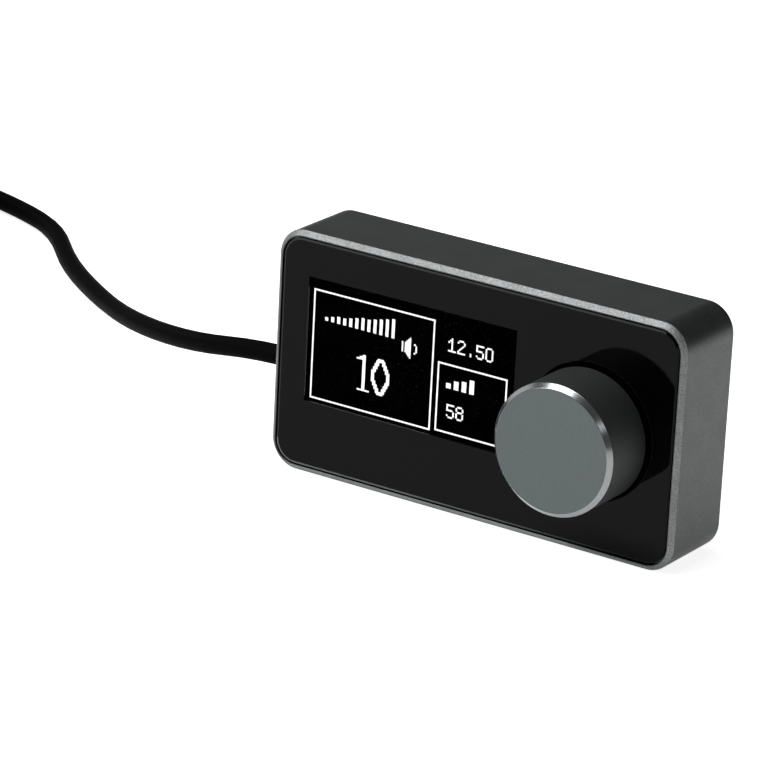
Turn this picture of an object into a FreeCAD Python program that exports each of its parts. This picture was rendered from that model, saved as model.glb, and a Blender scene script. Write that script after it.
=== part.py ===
# Wired amplifier remote control: a milled metal housing with a glossy front panel, a small
# pixel display and one push-and-turn knob, on a long round cable that ends in a modular plug.
# Millimetres. X runs to the right, Y from the front to the back, Z up. The remote stands on its
# long lower side, and the origin is under the middle of the housing and knob together.
# Depths are counted from the housing's front plane, heights from its lower side.
import FreeCAD, Part
import math
import os

import Sketcher

Vector = FreeCAD.Vector

SIZES = {
    # housing
    "housing_width": 71.6,
    "housing_height": 38.4,
    "housing_depth": 14.0,
    "corner_radius": 4.5,
    "front_chamfer": 0.75,
    "rim_flat": 0.15,
    "rear_chamfer": 0.3,
    "side_wall": 1.8,
    "web_back": 3.7,
    "encoder_web": 1.2,
    "encoder_pocket_corner": 0.8,
    "pocket_play": 0.3,
    # front panel and display
    "panel_sunk": 0.1,
    "panel_thickness": 0.8,
    "panel_gap": 0.3,
    "panel_edge": 0.3,
    "glue_thickness": 0.15,
    "glue_inset": 0.25,
    "display_left_margin": 2.66,
    "display_knob_margin": 11.7,
    "display_low_margin": 4.36,
    "display_high_margin": 6.82,
    "display_seat_corner": 0.6,
    "display_sheet": 0.7,
    "display_ledge": 4.0,
    "display_foam_thickness": 0.35,
    "clear_glue": 0.1,
    "clear_glue_corner": 0.3,
    "driver_length": 12.0,
    "driver_width": 1.5,
    "driver_thickness": 0.4,
    "driver_gap": 0.3,
    # ribbon between display and board
    "ribbon_width": 12.5,
    "ribbon_thickness": 0.15,
    "ribbon_bend": 0.8,
    "ribbon_low": 3.1,
    "ribbon_bond": 1.4,
    "ribbon_slot_corner": 0.4,
    "ribbon_socket_low": 5.0,
    "ribbon_socket_length": 14.5,
    "ribbon_socket_height": 4.0,
    "ribbon_socket_thickness": 1.0,
    # knob
    "knob_from_right": 15.2,
    "knob_below_middle": 0.2,
    "knob_radius": 10.15,
    "knob_reach": 10.6,
    "knob_gap": 0.7,
    "knob_chamfer": 0.7,
    "knob_rear_chamfer": 0.25,
    "knob_side_wall": 1.6,
    "knob_front_wall": 1.6,
    "insert_sunk": 0.3,
    "insert_sleeve": 1.2,
    "insert_web": 1.2,
    "insert_boss_wall": 1.6,
    "insert_boss_back": 6.8,
    "insert_rib": 1.0,
    "insert_rib_length": 2.2,
    "insert_rib_overlap": 0.3,
    "insert_flat_overlap": 0.3,
    "insert_flat_inset": 0.2,
    "insert_slot": 0.8,
    "insert_slot_length": 1.9,
    "collet_ring_width": 1.2,
    "collet_ring_thickness": 0.5,
    "collet_ring_inset": 0.2,
    # encoder
    "shaft_radius": 3.0,
    "shaft_flat": 1.5,
    "shaft_flat_length": 5.0,
    "shaft_tip_chamfer": 0.4,
    "shaft_tip_gap": 0.2,
    "shaft_play": 0.05,
    "fit_play": 0.02,
    "bush_radius": 3.5,
    "bush_reach": 5.15,
    "bush_tip_chamfer": 0.3,
    "bush_hole_play": 0.15,
    "washer_radius": 5.4,
    "washer_thickness": 0.4,
    "nut_across": 10.0,
    "nut_thickness": 2.0,
    "encoder_side": 12.0,
    "encoder_depth": 6.5,
    "encoder_sheet": 0.3,
    "encoder_clip_corner": 0.2,
    "encoder_flange": 0.8,
    "encoder_flange_corner": 0.5,
    "encoder_base_corner": 0.3,
    "encoder_cavity_radius": 5.2,
    "encoder_cavity_depth": 3.55,
    "encoder_leg_width": 2.0,
    "encoder_leg_reach": 0.75,
    "leg_hole_play": 0.2,
    "leg_hole_corner": 0.15,
    "detent_thickness": 0.2,
    "detent_bore": 3.25,
    "collar_radius": 3.7,
    "collar_thickness": 0.4,
    "collar_gap": 0.1,
    "tail_radius": 2.2,
    "tail_length": 2.75,
    "rotor_radius": 4.8,
    "rotor_thickness": 1.25,
    "plunger_radius": 2.5,
    "plunger_play": 0.1,
    "plunger_thickness": 0.8,
    "plunger_tip_radius": 1.0,
    "plunger_tip_length": 0.1,
    "push_room": 0.6,
    "dome_radius": 2.3,
    "dome_thickness": 0.1,
    "terminal_width": 0.8,
    "terminal_thickness": 0.4,
    "terminal_pitch": 2.5,
    "terminal_row": 5.0,
    "terminal_reach": 0.85,
    "terminal_hole": 0.48,
    # board
    "board_thickness": 1.0,
    "board_play": 0.3,
    "board_corner": 1.0,
    "board_post_radius": 1.9,
    "board_post_edge": 6.4,
    "board_post_socket_gap": 3.25,
    "board_post_knob_gap": 10.4,
    "corner_post_radius": 3.0,
    "corner_post_play": 0.35,
    "screw_radius": 1.0,
    "screw_play": 0.02,
    "screw_hole": 1.1,
    "screw_depth": 5.0,
    "screw_end_gap": 0.4,
    "screw_head_radius": 1.9,
    "board_screw_length": 3.2,
    "board_screw_head": 1.1,
    "cross_width": 0.35,
    "cross_length": 2.0,
    "cross_depth": 0.6,
    "processor_side": 10.0,
    "processor_thickness": 1.2,
    "processor_right": 7.5,
    "processor_up": 0.8,
    # rear cover
    "cover_thickness": 1.5,
    "cover_rim": 1.0,
    "cover_gap": 0.1,
    # cable where it enters
    "cable_radius": 1.6,
    "cable_depth": 7.3,
    "cable_height": 14.8,
    "cable_inside": 8.5,
    "grommet_nose": 2.9,
    "grommet_tip_radius": 2.2,
    "grommet_root_radius": 2.9,
    "grommet_flange": 0.9,
    "grommet_flange_radius": 3.7,
    "grommet_neck_radius": 2.25,
    "grommet_inner_radius": 2.7,
    "inner_tie_width": 1.8,
    "inner_tie_thickness": 1.0,
    "core_radius": 0.45,
    "core_spacing": 1.0,
    "contact_pitch": 2.0,
    "socket_from_left": 14.8,
    "socket_wall": 0.7,
    "socket_back_wall": 1.6,
    "inner_plug_width": 7.9,
    "inner_plug_height": 3.4,
    "inner_plug_depth": 5.0,
    "inner_plug_reach": 1.5,
    # coil of the put-away cable, its ties and the modular plug on it
    "coil_radius": 43.0,
    "coil_gap": 0.5,
    "tie_width": 4.0,
    "tie_thickness": 0.8,
    "tie_room": 0.3,
    "plug_length": 12.1,
    "plug_width": 9.65,
    "plug_height": 6.6,
    "plug_corner": 0.4,
    "plug_boot_length": 9.0,
    "plug_boot_tip": 2.3,
    "plug_boot_root": 3.1,
    "boot_groove_start": 1.2,
    "boot_groove_width": 0.8,
    "boot_groove_depth": 0.45,
    "boot_groove_pitch": 1.7,
    "latch_width": 3.2,
    "latch_length": 12.5,
    "latch_nose": 1.2,
    "latch_root": 2.9,
    "latch_overlap": 0.2,
    "latch_thickness": 0.8,
    "latch_rise": 2.4,
    "blade_width": 0.35,
    "blade_pitch": 1.02,
    "blade_height": 2.6,
    "blade_length": 2.4,
    "blade_inset": 0.6,
    "blade_sunk": 0.3,
}

# the free cable's route: its ends and the corners of its straight runs, in the part's own X, Y
# and Z. It starts in the hole of the housing's left wall and ends where the coil begins.
CABLE_ROUTE = [
    (-35.8, 5.6, 14.8),
    (-43.5, 5.6, 14.8),
    (-58.0, 9.0, 11.5),
    (-76.0, 19.4, 7.4),
    (-93.0, 32.7, 3.7),
    (-114.0, 49.7, 1.6),
    (-126.6, 63.1, 1.6),
    (-139.0, 68.8, 1.6),
    (-154.0, 70.5, 2.7),
    (-167.5, 69.4, 2.7),
    (-179.0, 66.5, 2.7),
]
CABLE_TRIM = 0.45  # share of the shorter run that a bend takes

# the coil winds in and out in layers, then climbs onto itself in its last half turn
COIL_LAYERS = 4
LAYER_TURNS = 6
COIL_TURNS = COIL_LAYERS * LAYER_TURNS
CLIMB_START = COIL_TURNS - 0.5
CLIMB_UP_TURNS = 0.36
CLIMB_IN = 15.0
POINTS_PER_TURN = 48
STRAP_PLACES = (0.172, 0.467)  # shares of a turn after the coil's start

BOOT_GROOVES = 4
PLUG_BLADES = 6
NUT_CONE_SLOPE = 2  # how much wider than long the cone is that rounds the nut's corners
DOME_BEND = 0.5  # share of the snap dome's radius where its section bends
DOME_BEND_DROP = 0.25  # share of its rise there
DOME_INNER_BEND = 0.48
DOME_INNER_RIM = 0.92
BEYOND = 1  # how far a cutting shape reaches past what it cuts
CLOSE = 1e-4  # places nearer to each other than this are the same

doc = FreeCAD.newDocument("remote_control")
sheet = doc.addObject("Spreadsheet::Sheet", "Sizes")
for row, (alias, value) in enumerate(SIZES.items(), start=1):
    sheet.set(f"A{row}", alias)
    sheet.set(f"B{row}", str(value))
    sheet.setAlias(f"B{row}", alias)
doc.recompute()


class Size:
    """A length with the spreadsheet expression that gives it."""

    def __init__(self, value, text):
        self.value = value
        self.text = text

    def join(self, other, sign, value, other_first=False):
        words = other.text if isinstance(other, Size) else repr(other)
        first, second = (words, self.text) if other_first else (self.text, words)
        return Size(value, f"({first} {sign} {second})")

    def __add__(self, other):
        return self.join(other, "+", self.value + number(other))

    def __radd__(self, other):
        return self.join(other, "+", number(other) + self.value, True)

    def __sub__(self, other):
        return self.join(other, "-", self.value - number(other))

    def __rsub__(self, other):
        return self.join(other, "-", number(other) - self.value, True)

    def __mul__(self, other):
        return self.join(other, "*", self.value * number(other))

    def __rmul__(self, other):
        return self.join(other, "*", number(other) * self.value, True)

    def __truediv__(self, other):
        return self.join(other, "/", self.value / number(other))

    def __neg__(self):
        return 0 - self


def number(value):
    return value.value if isinstance(value, Size) else float(value)


def size(alias):
    return Size(float(sheet.get(alias)), f"Sizes.{alias}")


def bind(thing, path, value):
    """Ties a property to its expression, or sets it where it is a plain number."""
    if isinstance(value, Size):
        thing.setExpression(path, value.text)
    elif "." in path:
        thing.setExpression(path, repr(float(value)))
    else:
        setattr(thing, path, value)


# values that several pieces share
half_width = size("housing_width") / 2
height = size("housing_height")
depth = size("housing_depth")
corner_radius = size("corner_radius")
wall = size("side_wall")
play = size("fit_play")
front = (size("knob_reach") - depth) / 2
rim = size("front_chamfer") + size("rim_flat")
panel_back = size("panel_sunk") + size("panel_thickness")
panel_seat = panel_back + size("glue_thickness")
display_front = panel_back + size("clear_glue")
display_step = display_front + size("display_sheet")
display_back = display_step + size("display_sheet")
display_floor = display_back + size("display_foam_thickness")
web_back = size("web_back")
encoder_seat = panel_seat + size("encoder_web")
board_front = encoder_seat + size("encoder_depth")
board_back = board_front + size("board_thickness")
cover_seat = depth - size("cover_thickness")

knob_x = half_width - size("knob_from_right")
knob_z = height / 2 - size("knob_below_middle")
display_left = size("display_left_margin") - half_width
display_right = knob_x - size("display_knob_margin")
display_low = size("display_low_margin")
display_high = height - size("display_high_margin")
display_width = display_right - display_left
display_height = display_high - display_low
display_x = (display_left + display_right) / 2
display_z = (display_low + display_high) / 2
ribbon_half = size("ribbon_width") / 2
ribbon_socket_left = display_x - size("ribbon_socket_length") / 2

post_x = half_width - corner_radius
corner_posts = [(x, z) for x in (-post_x, post_x) for z in (corner_radius, height - corner_radius)]
board_posts = [
    (x, z)
    for x in (
        ribbon_socket_left - size("board_post_socket_gap"),
        knob_x - size("board_post_knob_gap"),
    )
    for z in (size("board_post_edge"), height - size("board_post_edge"))
]
terminal_places = [
    (size("terminal_pitch") * column, size("terminal_row") * row)
    for column, row in ((-1, -1), (0, -1), (1, -1), (-1, 1), (1, 1))
]
cable = size("cable_radius")
cable_y = size("cable_depth")
cable_z = size("cable_height")
inner_tie_start = wall + size("grommet_flange") - half_width

BACKWARDS = FreeCAD.Rotation(Vector(1, 0, 0), -90)
SIDEWAYS = FreeCAD.Rotation(Vector(0, 1, 0), 90)
parts = []


def keep(piece, label):
    piece.Label = label
    parts.append(piece)
    return piece


def put(thing, x, y, z):
    """Places a thing at x and z, at the depth y behind the housing's front plane."""
    bind(thing, "Placement.Base.x", x)
    bind(thing, "Placement.Base.y", front + y)
    bind(thing, "Placement.Base.z", z)


def new_body(label, x=0, z=0, y=0):
    """A body whose own zero lies at x and z, on the housing's front plane or y behind it."""
    body = doc.addObject("PartDesign::Body", label)
    put(body, x, y, z)
    return keep(body, label)


def sketch_in(body, name, role="XZ_Plane", offset=0):
    sketch = body.newObject("Sketcher::SketchObject", name)
    origin_plane = [f for f in body.Origin.OriginFeatures if f.Role == role][0]
    sketch.AttachmentSupport = (origin_plane, [""])
    sketch.MapMode = "FlatFace"
    # the XZ plane's normal points to the front, so a depth counts against it
    bind(sketch, "AttachmentOffset.Base.z", 0 - offset if role == "XZ_Plane" else offset)
    return sketch


def limit(sketch, kind, geometry, point, value):
    """Fixes one coordinate of a sketch point, counted from the sketch's own zero."""
    if not isinstance(value, Size) and value == 0:
        axis = -2 if kind == "DistanceX" else -1
        sketch.addConstraint(Sketcher.Constraint("PointOnObject", geometry, point, axis))
        return
    index = sketch.addConstraint(Sketcher.Constraint(kind, -1, 1, geometry, point, number(value)))
    if isinstance(value, Size):
        sketch.setExpression(f"Constraints[{index}]", value.text)


def circle(sketch, x, y, radius):
    middle = Vector(number(x), number(y), 0)
    n = sketch.addGeometry(Part.Circle(middle, Vector(0, 0, 1), number(radius)), False)
    limit(sketch, "DistanceX", n, 3, x)
    limit(sketch, "DistanceY", n, 3, y)
    index = sketch.addConstraint(Sketcher.Constraint("Radius", n, number(radius)))
    if isinstance(radius, Size):
        sketch.setExpression(f"Constraints[{index}]", radius.text)


def polygon(sketch, points):
    """A closed outline of straight lines, each corner fixed."""
    places = [Vector(number(x), number(y), 0) for x, y in points]
    count = len(points)
    lines = [Part.LineSegment(places[i], places[(i + 1) % count]) for i in range(count)]
    first = sketch.addGeometry(lines, False)[0]
    for i in range(count):
        follows = first + (i + 1) % count
        sketch.addConstraint(Sketcher.Constraint("Coincident", first + i, 2, follows, 1))
    for i, (x, y) in enumerate(points):
        limit(sketch, "DistanceX", first + i, 1, x)
        limit(sketch, "DistanceY", first + i, 1, y)


def rounded(sketch, left, right, low, high, radius):
    """A rectangle with equal round corners."""
    x0, x1, y0, y1, r = [number(v) for v in (left, right, low, high, radius)]

    def line(ax, ay, bx, by):
        return Part.LineSegment(Vector(ax, ay, 0), Vector(bx, by, 0))

    def arc(x, y, start):
        whole = Part.Circle(Vector(x, y, 0), Vector(0, 0, 1), r)
        return Part.ArcOfCircle(whole, math.radians(start), math.radians(start + 90))

    outline = [
        line(x0 + r, y0, x1 - r, y0),
        arc(x1 - r, y0 + r, -90),
        line(x1, y0 + r, x1, y1 - r),
        arc(x1 - r, y1 - r, 0),
        line(x1 - r, y1, x0 + r, y1),
        arc(x0 + r, y1 - r, 90),
        line(x0, y1 - r, x0, y0 + r),
        arc(x0 + r, y0 + r, 180),
    ]
    n = sketch.addGeometry(outline, False)[0]
    for i in range(8):
        sketch.addConstraint(Sketcher.Constraint("Tangent", n + i, 2, n + (i + 1) % 8, 1))
    for i in (0, 4):
        sketch.addConstraint(Sketcher.Constraint("Horizontal", n + i))
        sketch.addConstraint(Sketcher.Constraint("Vertical", n + i + 2))
    for i in (3, 5, 7):
        sketch.addConstraint(Sketcher.Constraint("Equal", n + 1, n + i))
    index = sketch.addConstraint(Sketcher.Constraint("Radius", n + 1, r))
    if isinstance(radius, Size):
        sketch.setExpression(f"Constraints[{index}]", radius.text)
    limit(sketch, "DistanceX", n + 6, 1, left)
    limit(sketch, "DistanceX", n + 2, 1, right)
    limit(sketch, "DistanceY", n, 1, low)
    limit(sketch, "DistanceY", n + 4, 1, high)


def around(sketch, x, z, width, tall, radius):
    """A rounded rectangle given by its middle."""
    rounded(sketch, x - width / 2, x + width / 2, z - tall / 2, z + tall / 2, radius)


def outline(sketch, inset):
    """The housing's own outline, moved in by inset all round."""
    left, right, top = inset - half_width, half_width - inset, height - inset
    rounded(sketch, left, right, inset, top, corner_radius - inset)


def pad(body, sketch, length, backwards=True):
    feature = body.newObject("PartDesign::Pad", sketch.Name + "_pad")
    feature.Profile = sketch
    feature.Reversed = backwards
    bind(feature, "Length", length)
    return feature


def pad_middle(body, sketch, length):
    feature = pad(body, sketch, length)
    feature.Midplane = True
    return feature


def pocket(body, sketch, length, reverse=False):
    """Cuts towards the back, or the other way if reverse is set."""
    feature = body.newObject("PartDesign::Pocket", sketch.Name + "_cut")
    feature.Profile = sketch
    feature.Reversed = reverse
    bind(feature, "Length", length)
    return feature


def turned(body, points, role="XY_Plane", axis="V_Axis"):
    """A piece turned round the body's own axis, from half its section."""
    sketch = sketch_in(body, body.Name + "_section", role)
    polygon(sketch, points)
    feature = body.newObject("PartDesign::Revolution", body.Name + "_turned")
    feature.Profile = sketch
    feature.ReferenceAxis = (sketch, [axis])
    feature.Angle = 360
    return feature


def chamfer(body, name, wanted, amount):
    """Chamfers the edges of the body's last feature that wanted() picks."""
    doc.recompute()
    base = body.Tip
    names = [f"Edge{i}" for i, e in enumerate(base.Shape.Edges, start=1) if wanted(e)]
    feature = body.newObject("PartDesign::Chamfer", name)
    feature.Base = (base, names)
    bind(feature, "Size", amount)
    return feature


def at_depth(edge, y):
    return all(abs(v.Point.y - number(y)) < CLOSE for v in edge.Vertexes)


def round_edge(edge, radius):
    on_circle = edge.Curve.TypeId == "Part::GeomCircle"
    return on_circle and abs(edge.Curve.Radius - number(radius)) < CLOSE


def outline_edges(y, inset):
    """Picks the edges at the depth y that lie on the outline moved in by inset."""
    side, end, middle = number(half_width - inset), number(height / 2 - inset), number(height / 2)

    def wanted(edge):
        box = edge.BoundBox
        on_side = box.XLength < CLOSE and abs(abs(box.XMax) - side) < CLOSE
        on_end = box.ZLength < CLOSE and abs(abs(box.ZMax - middle) - end) < CLOSE
        in_corner = round_edge(edge, corner_radius - inset)
        return at_depth(edge, y) and (on_side or on_end or in_corner)

    return wanted


def block(name, x, y, z, across, deep, tall):
    """A box whose low corner is at x, at the depth y, and at the height z."""
    box = doc.addObject("Part::Box", name)
    bind(box, "Length", across)
    bind(box, "Width", deep)
    bind(box, "Height", tall)
    put(box, x, y, z)
    return box


def kept_block(name, x, y, z, across, deep, tall):
    return keep(block(name, x, y, z, across, deep, tall), name)


def rod(name, x, y, z, radius, length, turn=BACKWARDS):
    """A cylinder that runs towards the back from the depth y, or another way if turned."""
    cylinder = doc.addObject("Part::Cylinder", name)
    cylinder.Placement.Rotation = turn
    bind(cylinder, "Radius", radius)
    bind(cylinder, "Height", length)
    put(cylinder, x, y, z)
    return cylinder


def cone(name, x, y, z, radius, back_radius, length):
    """A cone that runs towards the back from the depth y."""
    piece = doc.addObject("Part::Cone", name)
    piece.Placement.Rotation = BACKWARDS
    bind(piece, "Radius1", radius)
    bind(piece, "Radius2", back_radius)
    bind(piece, "Height", length)
    put(piece, x, y, z)
    return piece


def cut(name, base, tool):
    feature = doc.addObject("Part::Cut", name)
    feature.Base = base
    feature.Tool = tool
    return feature


def fuse(name, shapes):
    feature = doc.addObject("Part::MultiFuse", name)
    feature.Shapes = shapes
    return feature


def group(name, shapes):
    feature = doc.addObject("Part::Compound", name)
    feature.Links = shapes
    return keep(feature, name)


# housing: a milled block with a front recess for the panel, a recess in its web for the display,
# and a rear cavity with the posts for the board and the rear cover
housing = new_body("housing")
outer = sketch_in(housing, "housing_outline")
outline(outer, 0)
pad(housing, outer, depth)

recess = sketch_in(housing, "panel_recess")
outline(recess, rim)
pocket(housing, recess, panel_seat)

display_room_x = display_width + size("pocket_play") * 2
display_room_z = display_height + size("pocket_play") * 2
seat_corner = size("display_seat_corner")
display_seat = sketch_in(housing, "display_seat", offset=panel_seat)
around(display_seat, display_x, display_z, display_room_x, display_room_z, seat_corner)
pocket(housing, display_seat, display_floor - panel_seat)

ribbon_slot = sketch_in(housing, "ribbon_slot", offset=panel_seat)
slot_play = size("pocket_play") * 2
rounded(
    ribbon_slot,
    display_x - ribbon_half - slot_play,
    display_x + ribbon_half + slot_play,
    size("ribbon_low") - slot_play,
    display_low + size("pocket_play"),
    size("ribbon_slot_corner"),
)
pocket(housing, ribbon_slot, web_back - panel_seat)

bush_hole_radius = size("bush_radius") + size("bush_hole_play")
bush_hole = sketch_in(housing, "bush_hole", offset=panel_seat)
circle(bush_hole, knob_x, knob_z, bush_hole_radius)
pocket(housing, bush_hole, web_back - panel_seat)

cover_recess = sketch_in(housing, "cover_recess", offset=depth)
outline(cover_recess, size("cover_rim"))
pocket(housing, cover_recess, size("cover_thickness"), reverse=True)

cavity = sketch_in(housing, "rear_cavity", offset=cover_seat)
outline(cavity, wall)
pocket(housing, cavity, cover_seat - web_back, reverse=True)

encoder_pocket = sketch_in(housing, "encoder_pocket", offset=web_back)
encoder_room = size("encoder_side") + size("encoder_sheet") * 2 + size("pocket_play") * 4
pocket_corner = size("encoder_pocket_corner")
around(encoder_pocket, knob_x, knob_z, encoder_room, encoder_room, pocket_corner)
pocket(housing, encoder_pocket, web_back - encoder_seat, reverse=True)

corner_post = sketch_in(housing, "corner_post", offset=web_back)
for x, z in corner_posts:
    circle(corner_post, x, z, size("corner_post_radius"))
pad(housing, corner_post, cover_seat - web_back)

board_post = sketch_in(housing, "board_post", offset=web_back)
for x, z in board_posts:
    circle(board_post, x, z, size("board_post_radius"))
pad(housing, board_post, board_front - web_back)

screw_bore = size("screw_radius") + size("screw_play")
cover_threads = sketch_in(housing, "cover_threads", offset=cover_seat)
for x, z in corner_posts:
    circle(cover_threads, x, z, screw_bore)
pocket(housing, cover_threads, size("screw_depth"), reverse=True)

board_threads = sketch_in(housing, "board_threads", offset=board_front)
for x, z in board_posts:
    circle(board_threads, x, z, screw_bore)
pocket(housing, board_threads, size("board_screw_length"), reverse=True)

cable_hole = sketch_in(housing, "cable_hole", "YZ_Plane", -half_width)
circle(cable_hole, cable_y, cable_z, size("grommet_neck_radius"))
pocket(housing, cable_hole, wall, reverse=True)

chamfer(housing, "front_edge", outline_edges(0, 0), size("front_chamfer"))
chamfer(housing, "rear_edge", outline_edges(depth, 0), size("rear_chamfer"))

# front panel: a clear sheet printed black from behind, with the hole for the encoder's bush
panel_inset = rim + size("panel_gap")
panel = new_body("front_panel")
panel_outline = sketch_in(panel, "panel_outline", offset=size("panel_sunk"))
outline(panel_outline, panel_inset)
circle(panel_outline, knob_x, knob_z, bush_hole_radius)
pad(panel, panel_outline, size("panel_thickness"))
panel_edges = outline_edges(size("panel_sunk"), panel_inset)
chamfer(panel, "panel_edge_chamfer", panel_edges, size("panel_edge"))

# glue film between the panel and the housing's web, open over the display and round the bush
glue = new_body("panel_glue")
glue_sketch = sketch_in(glue, "glue_outline", offset=panel_back)
outline(glue_sketch, panel_inset + size("glue_inset"))
around(glue_sketch, display_x, display_z, display_room_x, display_room_z, seat_corner)
circle(glue_sketch, knob_x, knob_z, size("washer_radius"))
pad(glue, glue_sketch, size("glue_thickness"))

# display: the front sheet carries the pixels, a shorter rear sheet seals it, and the driver chip
# and the ribbon sit on the ledge that the rear sheet leaves free
sheet_thickness = size("display_sheet")
ledge_top = display_low + size("display_ledge")
cap_tall = display_height - size("display_ledge")
kept_block(
    "display_glass",
    display_left,
    display_front,
    display_low,
    display_width,
    sheet_thickness,
    display_height,
)
kept_block(
    "display_rear_glass",
    display_left,
    display_step,
    ledge_top,
    display_width,
    sheet_thickness,
    cap_tall,
)
kept_block(
    "display_foam",
    display_left,
    display_back,
    ledge_top,
    display_width,
    size("display_foam_thickness"),
    cap_tall,
)
kept_block(
    "display_driver",
    display_x - size("driver_length") / 2,
    display_step,
    ledge_top - size("driver_width") - size("driver_gap"),
    size("driver_length"),
    size("driver_thickness"),
    size("driver_width"),
)

clear_glue = new_body("display_glue")
clear_sketch = sketch_in(clear_glue, "clear_glue_outline", offset=panel_back)
around(
    clear_sketch,
    display_x,
    display_z,
    display_width - size("glue_inset") * 2,
    display_height - size("glue_inset") * 2,
    size("clear_glue_corner"),
)
pad(clear_glue, clear_sketch, size("clear_glue"))

# ribbon: down from the display's ledge, back through the slot in the web and up into its socket
ribbon = new_body("display_ribbon", display_x)
ribbon_top = display_low + size("ribbon_bond")
ribbon_front = display_step + size("ribbon_thickness") / 2
ribbon_back = board_front - size("ribbon_socket_thickness") / 2
ribbon_end_z = size("ribbon_socket_low")
bend = size("ribbon_bend")
low = size("ribbon_low")
spine = sketch_in(ribbon, "ribbon_path", "YZ_Plane")


def flat_line(x, y, end_x, end_y):
    start, end = Vector(number(x), number(y), 0), Vector(number(end_x), number(end_y), 0)
    return Part.LineSegment(start, end)


def bend_arc(x, y, start, end):
    middle = Vector(number(x), number(y), 0)
    whole = Part.Circle(middle, Vector(0, 0, 1), number(bend))
    return Part.ArcOfCircle(whole, math.radians(start), math.radians(end))


ribbon_path = [
    flat_line(ribbon_front, ribbon_top, ribbon_front, low + bend),
    bend_arc(ribbon_front + bend, low + bend, 180, 270),
    flat_line(ribbon_front + bend, low, ribbon_back - bend, low),
    bend_arc(ribbon_back - bend, low + bend, 270, 360),
    flat_line(ribbon_back, low + bend, ribbon_back, ribbon_end_z),
]
spine.addGeometry(ribbon_path, False)
for i in range(len(ribbon_path) - 1):
    spine.addConstraint(Sketcher.Constraint("Tangent", i, 2, i + 1, 1))
spine.addConstraint(Sketcher.Constraint("Vertical", 0))
spine.addConstraint(Sketcher.Constraint("Horizontal", 2))
spine.addConstraint(Sketcher.Constraint("Vertical", 4))
limit(spine, "DistanceX", 0, 1, ribbon_front)
limit(spine, "DistanceY", 0, 1, ribbon_top)
limit(spine, "DistanceY", 1, 1, low + bend)
limit(spine, "DistanceY", 2, 1, low)
limit(spine, "DistanceX", 4, 1, ribbon_back)
limit(spine, "DistanceY", 4, 2, ribbon_end_z)
spine.addConstraint(Sketcher.Constraint("Equal", 1, 3))
ribbon_end = sketch_in(ribbon, "ribbon_end", "XY_Plane", ribbon_top)
ribbon_behind = display_step + size("ribbon_thickness")
polygon(
    ribbon_end,
    [
        (-ribbon_half, display_step),
        (ribbon_half, display_step),
        (ribbon_half, ribbon_behind),
        (-ribbon_half, ribbon_behind),
    ],
)
ribbon_pipe = ribbon.newObject("PartDesign::AdditivePipe", "ribbon_pipe")
ribbon_pipe.Profile = ribbon_end
ribbon_pipe.Spine = (spine, [])

kept_block(
    "ribbon_socket",
    ribbon_socket_left,
    board_front - size("ribbon_socket_thickness"),
    size("ribbon_socket_low"),
    size("ribbon_socket_length"),
    size("ribbon_socket_thickness"),
    size("ribbon_socket_height"),
)

# encoder: a flanged bush clamped by its nut on the panel, a moulded base with the contacts,
# and a sheet clip that holds both and reaches through the board
side_half = size("encoder_side") / 2
clip_half = side_half + size("encoder_sheet")
sheet_back = encoder_seat + size("encoder_sheet")
flange_back = sheet_back + size("encoder_flange")
bush_bore = size("shaft_radius") + size("shaft_play")
bush_outer = size("bush_radius")
bush_front = encoder_seat - size("bush_reach")
bush_tip = size("bush_tip_chamfer")
bush = new_body("encoder_bush", knob_x, knob_z)
turned(
    bush,
    [
        (bush_bore, bush_front),
        (bush_outer - bush_tip, bush_front),
        (bush_outer, bush_front + bush_tip),
        (bush_outer, sheet_back),
        (bush_bore, sheet_back),
    ],
)
flange_sketch = sketch_in(bush, "bush_flange", offset=sheet_back)
flange_corner = size("encoder_flange_corner")
rounded(flange_sketch, -side_half, side_half, -side_half, side_half, flange_corner)
circle(flange_sketch, 0, 0, bush_bore)
pad(bush, flange_sketch, size("encoder_flange"))

clip = new_body("encoder_clip", knob_x, knob_z)
clip_face = sketch_in(clip, "clip_face", offset=encoder_seat)
clip_corner = size("encoder_clip_corner")
rounded(clip_face, -clip_half, clip_half, -side_half, side_half, clip_corner)
circle(clip_face, 0, 0, bush_outer + play)
pad(clip, clip_face, size("encoder_sheet"))
clip_cheeks = sketch_in(clip, "clip_cheeks", offset=sheet_back)
clip_legs = sketch_in(clip, "clip_legs", offset=board_front)
leg_half = size("encoder_leg_width") / 2
for sign in (-1, 1):
    near, far = side_half * sign, clip_half * sign
    for sketch, half in ((clip_cheeks, side_half), (clip_legs, leg_half)):
        polygon(sketch, [(near, -half), (far, -half), (far, half), (near, half)])
pad(clip, clip_cheeks, board_front - sheet_back)
pad(clip, clip_legs, size("board_thickness") + size("encoder_leg_reach"))

cavity_floor = flange_back + size("encoder_cavity_depth")
collar_front = flange_back + size("detent_thickness") + size("collar_gap")
collar_back = collar_front + size("collar_thickness")
shaft_back = collar_back + size("tail_length")
plunger_back = shaft_back + size("plunger_thickness")
tip_back = plunger_back + size("plunger_tip_length")
dome_floor = tip_back + size("push_room")
base = new_body("encoder_base", knob_x, knob_z)
base_outline = sketch_in(base, "base_outline", offset=flange_back)
base_corner = size("encoder_base_corner")
rounded(base_outline, -side_half, side_half, -side_half, side_half, base_corner)
pad(base, base_outline, board_front - flange_back)
base_cavity = sketch_in(base, "base_cavity", offset=flange_back)
circle(base_cavity, 0, 0, size("encoder_cavity_radius"))
pocket(base, base_cavity, size("encoder_cavity_depth"))
plunger_well = sketch_in(base, "plunger_well", offset=cavity_floor)
circle(plunger_well, 0, 0, size("plunger_radius") + size("plunger_play"))
pocket(base, plunger_well, dome_floor - cavity_floor)

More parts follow.
